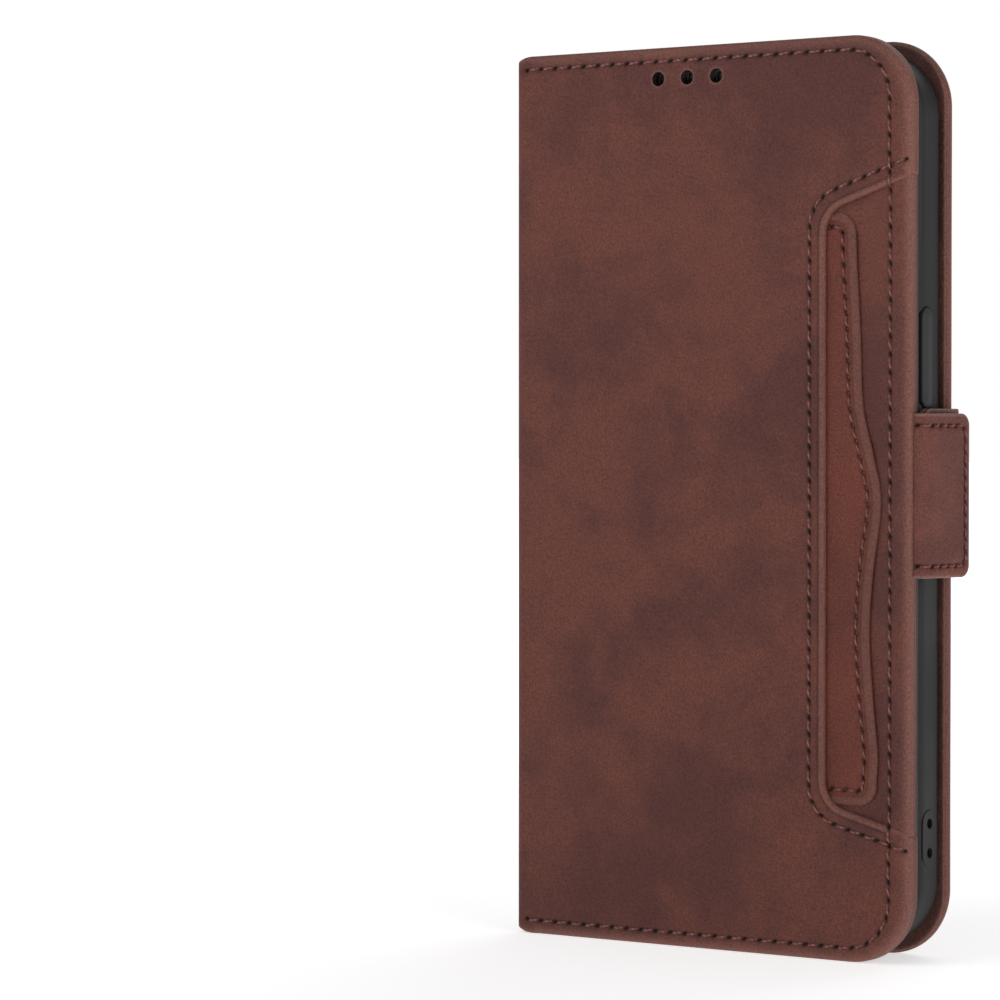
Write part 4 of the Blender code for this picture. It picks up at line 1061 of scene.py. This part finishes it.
ends = LANYARD_HEIGHTS[1] - LANYARD_HEIGHTS[0] + 2 * (LANYARD_RADIUS + PAD_MARGIN)
loop = even(racetrack((LANYARD_Y, sum(LANYARD_HEIGHTS) / 2), ends, 2 * (LANYARD_RADIUS + PAD_MARGIN),
                      24), 0.25 * MM, True)
lanyard_pad = sheet_piece("lanyard_pad", on_side(shell_high.x + PAD_RISE, 1),
                          [border(loop, 2 * PAD_RISE, 0.1 * MM)]
                          + [border(even(hole, 0.25 * MM, True)[::-1], 2 * PAD_RISE, 0.1 * MM)
                             for hole in lanyard_loops], shell_plastic, thick=PAD_RISE, spacing=1 * MM)
ride(lanyard_pad, "back_cover", "shell")

# ---------------------------------------------------------------------------------------------
# Button covers: soft plastic pads in slots of the shell's sides. Each has a domed face.

DOME = 0.12 * MM
button_plastic, node, shader = new_material("black_button_plastic", 0.46, Specular_IOR_Level=0.35)
grit = node("TexNoise", {"Vector": node("TexCoord").outputs["Object"]}, {"Scale": 2400}).outputs[0]
tint = node("Mix", {0: grit}, {6: (*tone(27, 27, 28), 1), 7: (*tone(40, 40, 41), 1)}, data_type="RGBA")
node.link(tint.outputs[2], shader.inputs["Base Color"])
bump = node("Bump", {"Height": grit}, {"Strength": 0.2, "Distance": 0.00005})
node.link(bump.outputs[0], shader.inputs["Normal"])

for name, (low, high) in pads.items():
    outward = 1 if low.x > 0 else -1
    face_x = high.x if low.x > 0 else low.x
    centre = np.array((SHELL_MIDDLE_Y, (low.z + high.z) / 2))
    loop = even(racetrack(centre, high.z - low.z, BUTTON_WIDTH, 24), 0.25 * MM, True)

    def dome(points):
        """Low dome, highest along the pad's middle."""
        away = np.minimum(nearest(points, loop, True)[0] / (BUTTON_WIDTH / 2), 1)
        return DOME * (smooth(away) - 1)

    pad = sheet_piece(name + "_cover", on_side(face_x, outward),
                      [border(loop, high.x - low.x, 0.3 * MM)], button_plastic, level=dome,
                      thick=0.5 * MM, spacing=0.8 * MM)
    ride(pad, name, "button", name + "_pad")

# ---------------------------------------------------------------------------------------------
# Closing tabs: straps of two leathers with a steel magnet between them. Each comes straight out
# of its cover's edge, bends round, and lies over the gap between the covers, the front tab
# outside the back tab. A seam runs round three sides; the cut edges show paler.

TAB_BEND = 1.36 * MM
TAB_ROOT = 1.3 * MM
TAB_OFFSET = 0.3 * MM
TAB_CORNER = 2.0 * MM
TAB_SEAM_START, TAB_SEAM_SIDE, TAB_SEAM_END = 0.2 * MM, 2.0 * MM, 1.1 * MM
TAB_SEAM_CORNER, TAB_PITCH = 1.4 * MM, 2.1 * MM
TABS = {                               # side, axis x and depth, flare in degrees, length, thickness
    "front_tab": (-1, 39.1575, 5.45, 8.5, 10.8, 2.1),
    "back_tab": (1, 38.2075, 6.75, -5.0, 10.3, 1.8),
}
tab_leather = leather_finish("brown_tab_leather", tone(92, 54, 49), tone(113, 66, 57),
                             tone(134, 104, 95))
# First tone: painted shade between the strands; second tone: the thread's colour.
tab_thread = thread_finish("reddish_thread", tone(96, 40, 38), tone(168, 84, 78))

for name, (side, axis_x, axis_y, flare, length, thick) in TABS.items():
    axis_x, axis_y, length, thick = axis_x * MM, -axis_y * MM, length * MM, thick * MM
    flare = np.radians(flare)
    turned = np.pi / 2 - flare
    centre_y = axis_y - TAB_OFFSET + TAB_BEND
    bend_end = centre_y - TAB_BEND * np.cos(turned)
    centre_x = axis_x + (bend_end - axis_y) * np.tan(flare) - TAB_BEND * np.sin(turned)
    reach = (axis_y + length * np.cos(flare) - bend_end) / np.cos(flare)
    total = TAB_ROOT + TAB_BEND * turned + reach
    low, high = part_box(name + "_skin")

    def strap(face):
        """Places on a strap that runs out, round its bend and back; face is +1 outside."""
        def place(points, rise):
            s = points[:, 0] - TAB_ROOT
            turn = np.clip(s / TAB_BEND, 0, turned)
            out = TAB_BEND + face * (thick / 2 + rise)
            rest = np.maximum(s - TAB_BEND * turned, 0)
            x = centre_x + out * np.sin(turn) + np.minimum(s, 0) + rest * np.cos(turned)
            y = centre_y - out * np.cos(turn) + rest * np.sin(turned)
            return np.stack((x, -side * y, points[:, 1]), -1)
        return place

    outline = rounded([(0, low.z), (total, low.z), (total, high.z), (0, high.z)],
                      [0.3 * MM, TAB_CORNER, TAB_CORNER, 0.3 * MM], 0.3 * MM, True)
    ends = TAB_ROOT + TAB_SEAM_START, total - TAB_SEAM_END
    sides = low.z + TAB_SEAM_SIDE, high.z - TAB_SEAM_SIDE
    seam = seam_of(rounded([(ends[0], sides[0]), (ends[1], sides[0]), (ends[1], sides[1]),
                            (ends[0], sides[1])], [0, TAB_SEAM_CORNER, TAB_SEAM_CORNER, 0]), TAB_PITCH)
    start = (centre_x, side * (TAB_BEND - centre_y), 0)
    end = (centre_x + TAB_BEND * np.sin(turned), -side * bend_end, 0)
    for face, layer in ((1, "outer"), (-1, "inner")):
        leather = sheet_piece("%s_%s_leather" % (name, layer), strap(face),
                              [border(outline, thick / 2 - 0.03 * MM, 0.28 * MM)], tab_leather, [seam],
                              even_level, thick=0.42 * MM, spacing=0.5 * MM)
        stitches = stitch_row("%s_%s_stitches" % (name, layer), strap(face), seam, even_level,
                              tab_thread, 1.5 * MM, 0.17 * MM, seed=11)
        for piece, slot, node_name in ((leather, "leather", "skin" if face > 0 else "lining"),
                                       (stitches, "thread", "thread")):
            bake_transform(piece)
            if face > 0 or node_name == "lining":
                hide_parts(name + "_" + node_name)

# ---------------------------------------------------------------------------------------------
# Boards and magnets, hidden inside the covers and the tabs: grey paper board and bright steel.

paper_board, node, shader = new_material("grey_paper_board", 0.85)
fibre = node("TexNoise", {"Vector": node("TexCoord").outputs["Object"]},
             {"Scale": 900, "Detail": 5.0, "Roughness": 0.7}).outputs[0]
tint = node("Mix", {0: fibre}, {6: (*tone(116, 108, 98), 1), 7: (*tone(162, 154, 142), 1)},
            data_type="RGBA")
node.link(tint.outputs[2], shader.inputs["Base Color"])
steel, node, shader = new_material("bright_steel", 0.3, tone(168, 168, 170), Metallic=1.0)
streak = node("TexNoise", {"Vector": node("TexCoord").outputs["Object"]}, {"Scale": 400}).outputs[0]
gloss = node("MapRange", {0: streak}, {3: 0.22, 4: 0.38}).outputs[0]
node.link(gloss, shader.inputs["Roughness"])
for name, finish, slot in (("back_board", paper_board, "board"), ("front_board", paper_board, "board"),
                           ("front_tab_magnet", steel, "magnet"), ("back_tab_magnet", steel, "magnet")):
    hidden = bpy.data.objects[name]
    hidden.data.materials.clear()
    hidden.data.materials.append(finish)
